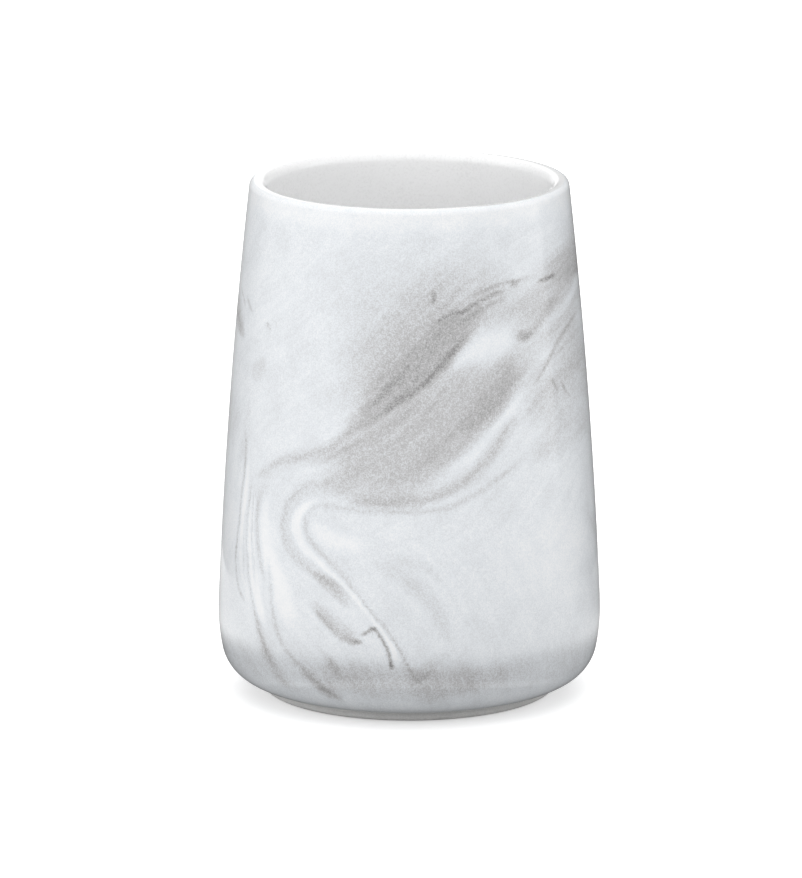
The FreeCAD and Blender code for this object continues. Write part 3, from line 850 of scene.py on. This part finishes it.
GROUND = 0.12  # pigment of the plain ground
RUN_STEPS = 6  # steps from one place of a stroke to the next
FLOW_STEPS = 3  # the same for the line of flow
FADE_STEPS = 6  # steps over which a stroke's end fades, at least
FADE_SHARE = 0.2  # share of a band over which its end fades
LINE_REACH = 2.6 * MM  # how far from a fine line its offset is kept
LINE_CORE = 0.6 * LINE_REACH  # up to here at full density
FAR_OFF = 9.0  # offset where no line is near, in half widths
EVERYWHERE = 1.0  # a reach wider than the cup

# Noise that shifts the strokes: its seed, fixed so that every run draws the same veins, then the size of its
# features and how far they shift
WANDER_SEED = 169
WANDER = ((11 * MM, 0.5 * MM), (3.5 * MM, 0.2 * MM))


def smooth_run(rows, steps):
    """Rows of numbers joined by a smooth curve through all of them."""
    rows = np.array(rows, float)
    before = np.vstack([2 * rows[0] - rows[1], rows, 2 * rows[-1] - rows[-2]])
    t = np.linspace(0, 1, steps, endpoint=False)[:, None]
    run = []
    for p, q, r, s in zip(before, before[1:], before[2:], before[3:]):
        square, cube = 2 * p - 5 * q + 4 * r - s, 3 * q - p - 3 * r + s
        run.append(0.5 * (2 * q + (r - p) * t + square * t**2 + cube * t**3))
    return np.vstack(run + [rows[-1:]])


def eased(low, high, value):
    """Nought below low, one above high, eased between."""
    t = np.clip((value - low) / (high - low), 0, 1)
    return t * t * (3 - 2 * t)


def wander(points):
    """Points shifted a little by smooth noise, so that no stroke runs true."""
    noise.seed_set(WANDER_SEED)
    moved = []
    for point in map(Vector, points):
        shifted = point.copy()
        for grain, reach in WANDER:
            shifted += noise.noise_vector(point / grain) * reach
        moved.append(shifted)
    return np.array(moved)


class Canvas:
    """The outside of the cup as a surface to draw on: its points, sorted by height."""

    def __init__(self, mesh, shape):
        self.mesh = mesh
        self.foot_level = shape.size.foot_level
        points = np.empty(len(mesh.vertices) * 3)
        mesh.vertices.foreach_get("co", points)
        points = points.reshape(-1, 3)
        self.order = np.argsort(points[:, 2], kind="stable")
        self.points = points[self.order]
        self.levels, first = np.unique(self.points[:, 2].round(7), return_index=True)
        self.radii = np.maximum.reduceat(np.hypot(self.points[:, 0], self.points[:, 1]), first)
        self.drawn = wander(self.points)
        self.by_height = np.argsort(self.drawn[:, 2], kind="stable")
        self.heights = self.drawn[self.by_height, 2]

    def run(self, places, steps=RUN_STEPS):
        """A smooth run through places, and the same as points in space on the cup."""
        run = smooth_run(places, steps)
        angle = np.radians(run[:, 0])
        level = run[:, 1] * MM + self.foot_level
        radius = np.interp(level, self.levels, self.radii)
        return run, np.column_stack([radius * np.sin(angle), -radius * np.cos(angle), level])

    def nearest(self, line, reach):
        """Signed distance of each point from a line, positive on its left, and how far along it that is."""
        across = np.full(len(self.drawn), np.inf)
        along = np.zeros(len(self.drawn))
        for index, (a, b) in enumerate(zip(line, line[1:])):
            low, high = np.searchsorted(self.heights, (min(a[2], b[2]) - reach, max(a[2], b[2]) + reach))
            near = self.by_height[low:high]
            ab = b - a
            near = near[(np.abs(self.drawn[near] - (a + b) / 2) < np.abs(ab) / 2 + reach).all(axis=1)]
            offset = self.drawn[near] - a
            t = np.clip(offset @ ab / (ab @ ab), 0, 1)
            gap = offset - t[:, None] * ab
            distance = np.sqrt(np.einsum("ij,ij->i", gap, gap))
            nearer = distance < np.abs(across[near])
            left = gap @ np.cross((a + b) * (0.5, 0.5, 0), ab) >= 0
            across[near[nearer]] = np.where(left, distance, -distance)[nearer]
            along[near[nearer]] = (index + t)[nearer]
        return across, along

    def paint(self, name, values):
        """Keeps values on the mesh under a name."""
        kept = np.empty(len(values), np.float32)
        kept[self.order] = values
        self.mesh.attributes.new(name, "FLOAT", "POINT").data.foreach_set("value", kept)


def paint_bands(canvas):
    """Density of the soft pigment."""
    pigment = np.full(len(canvas.points), GROUND)
    for band in BANDS:
        run, line = canvas.run(band.places)
        reach = run[:, 2].max() * (1 + max(band.softness)) * MM
        across, along = canvas.nearest(line, reach)
        near = np.abs(across) < reach
        along = along[near]
        offset = across[near] / (np.interp(along, np.arange(len(run)), run[:, 2]) * MM)
        soft = np.where(offset > 0, *band.softness)
        body = 1 - eased(1 - soft, 1 + soft, np.abs(offset))
        last = len(run) - 1
        fade = max(FADE_STEPS, FADE_SHARE * last)
        ends = 1.0 if band.closed else eased(0, fade, along) * eased(0, fade, last - along)
        amount = abs(band.density) * body * ends
        pigment[near] += amount * ((1 - pigment[near]) if band.density > 0 else -pigment[near])
    canvas.paint("pigment", pigment)


def paint_lines(canvas, layer):
    """Offset from the nearest fine line of a layer, in its half widths, and how dense it is there."""
    offset = np.full(len(canvas.points), FAR_OFF)
    density = np.zeros(len(canvas.points))
    for stroke in (stroke for stroke in LINES if stroke.layer == layer):
        run, line = canvas.run(stroke.places)
        across, along = canvas.nearest(line, LINE_REACH)
        ends = eased(0, FADE_STEPS, along) * eased(0, FADE_STEPS, len(run) - 1 - along)
        force = stroke.density * ends * (1 - eased(LINE_CORE, LINE_REACH, np.abs(across)))
        better = force > density
        density[better] = force[better]
        offset[better] = across[better] / (stroke.half_width * MM)
    canvas.paint(f"line_offset_{layer}", offset)
    canvas.paint(f"line_density_{layer}", density)


def paint_flow(canvas):
    """Place across and along the line of flow, in millimetres."""
    _, line = canvas.run(FLOW, FLOW_STEPS)
    across, along = canvas.nearest(line, EVERYWHERE)
    length_to = np.r_[0, np.cumsum(np.linalg.norm(np.diff(line, axis=0), axis=1))]
    canvas.paint("flow_across", across / MM)
    canvas.paint("flow_along", np.interp(along, np.arange(len(line)), length_to) / MM)


def paint_marble(mesh, shape):
    """Paints the marble on the mesh: soft pigment, fine lines and flow."""
    canvas = Canvas(mesh, shape)
    paint_bands(canvas)
    for layer in LAYERS:
        paint_lines(canvas, layer)
    paint_flow(canvas)


# Finishes

GLAZE_IOR = 1.5
STONEWARE_IOR = 1.45
PAD_IOR = 1.48

# Streaks in the marble, in millimetres across and along the flow
STREAK_WIDTH = 1.3
STREAK_LENGTH = 26

# Pigment at which the marble is as grey as its veils
VEIL = 0.45

# Glow that the floor gives the cup in place of the light that it throws back, as painted light and shade:
# dim under the cup, bright in a narrow ring under its edge, dark in a ring round it as painted shadow, then
# bright further out. Its level under the cup, then each change with where it starts and ends, in metres from
# the axis
THROWN_UNDER_CUP = 0.14
THROWN_CHANGES = ((0.42, 0.034, 0.040), (-0.50, 0.044, 0.051), (0.50, 0.055, 0.078))

# Glow of the floor where it is seen: its level at the cup, what it gains, and where
FLOOR_GLOW = 0.47
FLOOR_GLOW_GAIN = 0.25
FLOOR_GLOW_GAINS_FROM, FLOOR_GLOW_GAINS_TO = 0.08, 0.8


def marbled_glaze(shade):
    """Glossy white glaze with grey pigment that flowed, settled in streaks and left a fine grain."""
    f = Finish("marbled_glaze")
    place = f.place_mm()
    pigment = f.attribute("pigment")
    across = f.attribute("flow_across") / STREAK_WIDTH
    along = f.attribute("flow_along") / STREAK_LENGTH
    flow = f.add("ShaderNodeCombineXYZ", {}, {"X": across, "Y": along})
    streak = f.noise(flow, 1.0, detail=4.0, roughness=0.6).smooth(0.28, 0.72)
    smoke = f.noise(flow, 4.0, detail=3.0, roughness=0.5).smooth(0.3, 0.7)
    cloud = f.noise(place, grain_mm=7.0, detail=4.0)
    ragged = f.noise(place, grain_mm=1.4, detail=3.0, roughness=0.65) - 0.5
    pepper = f.noise(place, grain_mm=0.27, detail=1.0, roughness=0.6).smooth(0.3, 0.7) - 0.5
    dust = f.noise(place, grain_mm=0.8, detail=2.0, roughness=0.7).smooth(0.3, 0.7) - 0.5

    # Bands thicken along their streaks, and fine lines lie over them
    density = pigment * (0.74 + 0.22 * streak + 0.3 * smoke) * (1 + 0.3 * ragged)
    for layer in LAYERS:
        offset = f.attribute(f"line_offset_{layer}") + 0.4 * ragged
        line = (offset * offset * -1.0).exp() * (1 + 0.4 * dust)
        density = density + f.attribute(f"line_density_{layer}") * line

    # The more pigment, the coarser its grain
    grain = pepper * (0.05 + 0.54 * density) + dust * (0.02 + 0.24 * density)
    density = (density + grain + 0.06 * cloud.smooth(0.4, 0.75)).clamp()
    stops = ((0.0, shade.white), (GROUND, shade.ground), (VEIL, shade.veil), (1.0, shade.vein))
    return f.surface({
        "Base Color": f.tint(density, *stops),
        "Roughness": 0.05 + 0.05 * density,
        "IOR": GLAZE_IOR,
        "Normal": f.glaze_wave(place),
    })


def white_glaze(shade, name="white_glaze"):
    """Plain glossy white glaze, a little uneven, with a trace of grain."""
    f = Finish(name)
    place = f.place_mm()
    grain = f.noise(place, grain_mm=0.5, detail=2.0, roughness=0.7)
    cloud = f.noise(place, grain_mm=9.0, detail=3.0)
    density = (0.05 * cloud.smooth(0.4, 0.75) + 0.70 * (grain - 0.48)).clamp()
    return f.surface({
        "Base Color": f.tint(density, (0.0, shade.lining), (1.0, shade.veil)),
        "Roughness": 0.06 + 0.1 * density,
        "IOR": GLAZE_IOR,
        "Normal": f.glaze_wave(place),
    })


def bare_stoneware(shade):
    """Fired clay: dry, fine-grained and a little rubbed."""
    f = Finish("bare_stoneware")
    place = f.place_mm()
    sand = f.noise(place, grain_mm=0.35, detail=3.0, roughness=0.7)
    cloud = f.noise(place, grain_mm=5.0, detail=3.0)
    stops = ((0.25, darker(shade.stoneware, 0.86)), (0.75, shade.stoneware))
    return f.surface({
        "Base Color": f.tint(0.6 * sand + 0.4 * cloud, *stops),
        "Roughness": 0.72 + 0.2 * sand,
        "IOR": STONEWARE_IOR,
        "Normal": f.bump(sand, strength=0.35, distance=0.08 * MM),
    })


def pad_rubber(shade):
    """Soft moulded pad, satin and faintly dusty."""
    f = Finish("pad_rubber")
    dust = f.noise(f.place_mm(), grain_mm=0.6, detail=3.0, roughness=0.65)
    return f.surface({
        "Base Color": f.tint(dust, (0.3, darker(shade.pad, 0.9)), (0.7, shade.pad)),
        "Roughness": 0.42 + 0.2 * dust,
        "IOR": PAD_IOR,
        "Normal": f.bump(dust, strength=0.12, distance=0.05 * MM),
    })


def floor_finish(shade):
    """Pale floor: near white where it is seen; in place of the light that it throws back, a glow with
    painted shade and light round the cup.
    """
    f = Finish("studio_floor")
    mottle = f.noise(f.place_mm(), grain_mm=60.0)
    tint = f.tint(mottle, (0.0, darker(shade.floor, 0.985)), (1.0, shade.floor))
    matte = f.add("ShaderNodeBsdfDiffuse", {}, {"Color": tint})
    away = f.distance(f.place())
    glow = FLOOR_GLOW + FLOOR_GLOW_GAIN * away.smooth(FLOOR_GLOW_GAINS_FROM, FLOOR_GLOW_GAINS_TO)
    lit = f.add("ShaderNodeAddShader", {}, {0: matte, 1: f.glow(glow)})
    # Glow in place of thrown-back light, with painted shade under the cup and in a ring round it
    thrown = THROWN_UNDER_CUP
    for change, start, end in THROWN_CHANGES:
        thrown = thrown + change * away.smooth(start, end)
    return f.output(f.add("ShaderNodeMixShader", {}, {0: f.seen_directly(), 1: f.glow(thrown), 2: lit}))


# Operators


def measures(context):
    """The sizes, the section worked out from them, and the colours."""
    scene = context.scene
    return scene.tumbler_sizes, CupShape(scene.tumbler_sizes), scene.tumbler_colours


class TUMBLER_OT_stoneware(Operator):
    """Turns the fired cup with its foot ring"""

    bl_idname = "tumbler.stoneware"
    bl_label = "Stoneware cup"

    def execute(self, context):
        size, shape, shade = measures(context)
        glaze, edge = size.glaze_thickness, size.foot_edge_radius
        cup = Turning(0, shape.under + glaze)
        cup.line(shape.foot_inner, shape.under + glaze, steps=6)
        cup.line(shape.foot_inner, size.foot_level + edge, steps=4)
        cup.arc((shape.foot_inner + edge, size.foot_level + edge), -QUARTER, steps=8)
        cup.line(shape.foot_outer - edge, size.foot_level, steps=6)
        cup.arc((shape.foot_outer - edge, size.foot_level + edge), -QUARTER, steps=8)
        cup.line(shape.foot_outer, shape.under + glaze, steps=4)
        cup.line(shape.corner_c[0], shape.under + glaze)
        cup.retrace(shape.outside(), OUTSIDE_BODY)
        cup.line(shape.inner_lip_c[0], size.top - glaze)
        cup.follow(shape.inside(), INSIDE_BODY)
        cup.line(0, shape.floor - glaze, steps=6)
        piece = cup.turned("stoneware_cup", PLAIN_STEPS_ROUND)
        install(piece, "stoneware_body", bare_stoneware(shade))
        return {"FINISHED"}


class TUMBLER_OT_outer_glaze(Operator):
    """Turns the outer coat of glaze and paints its marble veining"""

    bl_idname = "tumbler.outer_glaze"
    bl_label = "Marbled glaze"

    def execute(self, context):
        size, shape, shade = measures(context)
        glaze, roll = size.glaze_thickness, size.glaze_roll
        coat = Turning(shape.crest, size.top)
        coat.follow(shape.outside(), OUTSIDE_FACE)
        coat.line(shape.foot_outer + roll, shape.under)
        coat.arc((shape.foot_outer + roll, shape.under + roll), QUARTER, steps=4)
        coat.line(shape.foot_outer, shape.under + glaze)
        coat.line(shape.corner_c[0], shape.under + glaze)
        coat.retrace(shape.outside(), OUTSIDE_BACK)
        coat.close()
        piece = coat.turned("marbled_coat")
        paint_marble(piece.data, shape)
        install(piece, "outer_glaze", marbled_glaze(shade))
        return {"FINISHED"}


class TUMBLER_OT_inner_glaze(Operator):
    """Turns the plain coat of glaze inside the cup"""

    bl_idname = "tumbler.inner_glaze"
    bl_label = "Inner glaze"

    def execute(self, context):
        size, shape, shade = measures(context)
        glaze = size.glaze_thickness
        lining = Turning(0, shape.floor - glaze)
        lining.line(shape.floor_c[0], shape.floor - glaze, steps=3)
        lining.retrace(shape.inside(), INSIDE_BACK)
        lining.line(shape.crest, size.top - glaze)
        lining.line(shape.crest, size.top)
        lining.line(shape.inner_lip_c[0], size.top)
        lining.follow(shape.inside(), INSIDE_FACE)
        lining.line(0, shape.floor, steps=14)
        install(lining.turned("plain_lining"), "inner_glaze", white_glaze(shade))
        return {"FINISHED"}


class TUMBLER_OT_base_glaze(Operator):
    """Turns the glazed disc under the base, which creeps a little down the foot ring"""

    bl_idname = "tumbler.base_glaze"
    bl_label = "Base glaze"

    def execute(self, context):
        size, shape, shade = measures(context)
        creep = 2 * size.glaze_roll
        disc = Turning(0, shape.under)
        disc.line(shape.foot_inner - creep, shape.under, steps=12)
        disc.arc((shape.foot_inner - creep, shape.under - creep), QUARTER, steps=6)
        disc.line(shape.foot_inner, shape.under + size.glaze_thickness, steps=2)
        disc.line(0, shape.under + size.glaze_thickness, steps=6)
        piece = disc.turned("base_disc", PLAIN_STEPS_ROUND)
        install(piece, "base_glaze", white_glaze(shade, "base_white_glaze"))
        return {"FINISHED"}


class TUMBLER_OT_pads(Operator):
    """Moulds the anti-slip pads under the base"""

    bl_idname = "tumbler.pads"
    bl_label = "Anti-slip pads"

    def execute(self, context):
        size, _, shade = measures(context)
        material = pad_rubber(shade)
        edge = size.pad_edge_radius
        for node in PADS:
            low, high = (Vector(corner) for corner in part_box(node))
            rim = (size.pad_diameter / 2, high.z)
            centre = (size.pad_sole_diameter / 2, low.z + edge)
            touch = bearing(centre, rim) - math.acos(edge / math.dist(centre, rim))
            pad = Turning(0, low.z)
            pad.line(centre[0], low.z, steps=8)
            pad.arc(centre, -(QUARTER + touch), steps=6)
            pad.line(*rim, steps=4)
            pad.line(0, high.z, steps=5)
            piece = pad.turned(f"soft_pad_{node[-1]}", PAD_STEPS_ROUND)
            middle = (low + high) / 2
            piece.data.transform(Matrix.Translation((middle.x, middle.y, 0)))
            install(piece, node, material)
        return {"FINISHED"}


# Studio


class SoftBox(NamedTuple):
    """A soft light that faces the cup."""

    name: str
    place: tuple
    width: float
    height: float
    brightness: float


class ShineCard(NamedTuple):
    """An upright card that the cup mirrors, from a start to an end on the floor."""

    name: str
    levels: tuple  # at the front and at the back
    start: tuple
    end: tuple
    height: float


SOFT_BOXES = (
    SoftBox("left_box", (-0.68, -0.16, 0.18), 1.00, 0.38, 0.80),
    SoftBox("right_box", (0.69, 0.12, 0.18), 0.66, 0.38, 0.80),
    SoftBox("left_fill", (-0.70, -0.50, 0.30), 0.60, 0.40, 1.2),
    SoftBox("right_fill", (0.70, -0.45, 0.30), 0.60, 0.40, 1.0),
    SoftBox("front_box", (0.08, -1.25, 1.00), 2.40, 1.40, 0.88),
    SoftBox("high_box", (0.0, -0.22, 1.40), 1.20, 0.90, 1.05),
    SoftBox("back_box", (0.0, 1.10, 1.10), 2.00, 1.00, 1.9),
)
SHINE_CARDS = (
    ShineCard("left_shine", (1.6, 1.6), (-0.39, -0.45, 0), (-0.556, 0.225, 0), 0.5),
    ShineCard("right_shine", (1.6, 1.6), (0.58, -0.155, 0), (0.57, 0.175, 0), 0.5),
    ShineCard("left_card", (1.35, 0.40), (-0.19, 0.015, 0), (-0.045, 0.155, 0), 0.4),
    ShineCard("right_card", (0.8, 0.14), (0.19, 0.025, 0), (0.015, 0.165, 0), 0.4),
)
CARDS_FADE = (0.02, 0.09)
DISC_SEGMENTS = 96
FLOOR_RADIUS = 4.0

# The table as the belly mirrors it, in metres from the axis: dark under the cup, but for a pale ring in
# front, then brighter to the front and to the left
TABLE_RADIUS = 0.3
TABLE_LIFT = 0.3 * MM
TABLE_LEVELS = (1.2, 0.3)
TABLE_FADE = (0.0, 0.08)
TABLE_LEFT_GAIN = 0.6
TABLE_LEFT_FADE = (0.03, 0.09)
DARK_STRETCH, DARK_SHIFT = (1.15, 1.0, 1.0), (0, 0.012, 0)
DARK_EDGE = (0.062, 0.094)
DARK_SHARE = 0.92
PALE_RING_INNER, PALE_RING_OUTER = (0.040, 0.043), (0.046, 0.050)
PALE_RING_FADE = (0.01, 0.035)
PALE_RING_SHARE = 0.8

# Level of the surroundings where they are seen, and for the light that they give
WORLD_SEEN = 1.0
WORLD_LIGHT = 0.46

SENSOR_WIDTH = 36.0  # millimetres
CAMERA_REACH = 20.0


class TUMBLER_OT_stage(Operator):
    """Sets up the pale floor, the soft lights and the camera"""

    bl_idname = "tumbler.stage"
    bl_label = "Studio"

    def execute(self, context):
        scene = context.scene
        self.make_floor(scene)
        self.make_lights(scene)
        self.make_cards()
        self.make_table_card()
        self.make_world(scene)
        self.make_camera(scene)
        scene.view_settings.view_transform = "Standard"
        return {"FINISHED"}

    def make_floor(self, scene):
        """A wide pale floor under the pads."""
        bm = bmesh.new()
        bmesh.ops.create_circle(bm, cap_ends=True, segments=DISC_SEGMENTS, radius=FLOOR_RADIUS)
        floor = finished_piece("studio_floor", bm)
        floor.data.materials.append(floor_finish(scene.tumbler_colours))

    def make_lights(self, scene):
        """Soft boxes all round, which light the cup but leave no shine of their own."""
        middle = Vector((0, 0, scene.tumbler_studio.aim_height))
        for box in SOFT_BOXES:
            lamp = bpy.data.lights.new(box.name, "AREA")
            lamp.shape = "RECTANGLE"
            lamp.size, lamp.size_y = box.width, box.height
            lamp.energy = box.brightness * math.pi * box.width * box.height
            holder = bpy.data.objects.new(box.name, lamp)
            holder.location = box.place
            holder.rotation_euler = (middle - holder.location).to_track_quat("-Z", "Y").to_euler()
            holder.visible_glossy = False
            scene.collection.objects.link(holder)

    def make_cards(self):
        """Cards that only the cup's shine shows: bright ones at its sides, darker ones behind."""
        for card in SHINE_CARDS:
            bm = bmesh.new()
            edge = bm.edges.new((bm.verts.new(card.start), bm.verts.new(card.end)))
            swept = bmesh.ops.extrude_edge_only(bm, edges=[edge])["geom"]
            top = [item for item in swept if isinstance(item, bmesh.types.BMVert)]
            bmesh.ops.translate(bm, verts=top, vec=(0, 0, card.height))
            f = Finish(card.name)
            self.add_card(card.name, bm, f, self.fading(f, card.levels, CARDS_FADE))

    def make_table_card(self):
        """The table, as only the cup's shine shows it."""
        bm = bmesh.new()
        lift = Matrix.Translation((0, 0, TABLE_LIFT))
        bmesh.ops.create_circle(bm, cap_ends=True, segments=DISC_SEGMENTS, radius=TABLE_RADIUS, matrix=lift)
        f = Finish("table_card")
        place = f.place()
        oval = {0: place, 1: DARK_STRETCH, 2: DARK_SHIFT}
        away = f.distance(f.add("ShaderNodeVectorMath", {"operation": "MULTIPLY_ADD"}, oval))
        frontwards, leftwards = f.axis(place, "Y") * -1.0, f.axis(place, "X") * -1.0
        pale_ring = away.smooth(*PALE_RING_INNER) * (1 - away.smooth(*PALE_RING_OUTER))
        pale_ring = PALE_RING_SHARE * pale_ring * frontwards.smooth(*PALE_RING_FADE)
        dark = DARK_SHARE * (1 - away.smooth(*DARK_EDGE)) * (1 - pale_ring)
        gain = TABLE_LEFT_GAIN * leftwards.smooth(*TABLE_LEFT_FADE)
        level = self.fading(f, TABLE_LEVELS, TABLE_FADE) + gain
        self.add_card("table_card", bm, f, level * (1 - dark))

    def fading(self, f, levels, depths):
        """A brightness that changes from the front to the back, between two depths."""
        front, back = levels
        return front + (back - front) * f.axis(f.place(), "Y").smooth(*depths)

    def add_card(self, name, bm, f, level):
        """A glowing card that is mirrored, but never seen and never cast on anything."""
        card = finished_piece(name, bm)
        card.data.materials.append(f.output(f.glow(level)))
        card.visible_camera = card.visible_diffuse = card.visible_shadow = card.visible_transmission = False

    def make_world(self, scene):
        """White where it is seen, an even pale grey for the light that it gives."""
        world = bpy.data.worlds.new("studio_world")
        world.use_nodes = True
        scene.world = world
        f = Finish.on_tree(world.node_tree)
        level = f.seen_directly() * (WORLD_SEEN - WORLD_LIGHT) + WORLD_LIGHT
        background = f.add("ShaderNodeBackground", {}, {"Color": level})
        f.add("ShaderNodeOutputWorld", {}, {"Surface": background})

    def make_camera(self, scene):
        """The photograph's view: from the front, a little above, from far off."""
        studio = scene.tumbler_studio
        data = bpy.data.cameras.new("camera")
        data.sensor_width = SENSOR_WIDTH
        data.lens = studio.lens
        data.shift_x = (PHOTO_WIDTH / 2 - CUP_IN_PHOTO[0]) / PHOTO_HEIGHT
        data.shift_y = (CUP_IN_PHOTO[1] - PHOTO_HEIGHT / 2) / PHOTO_HEIGHT
        data.clip_end = CAMERA_REACH
        camera = bpy.data.objects.new("camera", data)
        aim = Vector((0, 0, studio.aim_height))
        away = Vector((0, -math.cos(studio.elevation), math.sin(studio.elevation)))
        camera.location = aim + studio.distance * away
        camera.rotation_euler = (-away).to_track_quat("-Z", "Y").to_euler()
        scene.collection.objects.link(camera)
        scene.camera = camera


# Sidebar and registering


class TUMBLER_PT_panel(Panel):
    """Lists the pieces in the sidebar"""

    bl_label = "Bathroom Tumbler"
    bl_idname = "TUMBLER_PT_panel"
    bl_space_type = "VIEW_3D"
    bl_region_type = "UI"
    bl_category = "Tumbler"

    def draw(self, context):
        for operator in OPERATORS:
            self.layout.operator(operator.bl_idname)
        for name, group in GROUPS.items():
            box = self.layout.box()
            for setting in group.__annotations__:
                box.prop(getattr(context.scene, name), setting)


OPERATORS = (
    TUMBLER_OT_stoneware,
    TUMBLER_OT_outer_glaze,
    TUMBLER_OT_inner_glaze,
    TUMBLER_OT_base_glaze,
    TUMBLER_OT_pads,
    TUMBLER_OT_stage,
)
GROUPS = {"tumbler_sizes": TumblerSizes, "tumbler_colours": TumblerColours, "tumbler_studio": TumblerStudio}
CLASSES = tuple(GROUPS.values()) + OPERATORS + (TUMBLER_PT_panel,)


def register():
    """Adds the classes and the settings on the scene."""
    for item in CLASSES:
        bpy.utils.register_class(item)
    for name, group in GROUPS.items():
        setattr(bpy.types.Scene, name, PointerProperty(type=group))


def unregister():
    """Takes the settings and the classes away again."""
    for name in GROUPS:
        delattr(bpy.types.Scene, name)
    for item in reversed(CLASSES):
        bpy.utils.unregister_class(item)


def main():
    """Builds every piece and the studio."""
    register()
    bpy.ops.tumbler.stoneware()
    bpy.ops.tumbler.outer_glaze()
    bpy.ops.tumbler.inner_glaze()
    bpy.ops.tumbler.base_glaze()
    bpy.ops.tumbler.pads()
    bpy.ops.tumbler.stage()


if __name__ == "__main__":
    main()
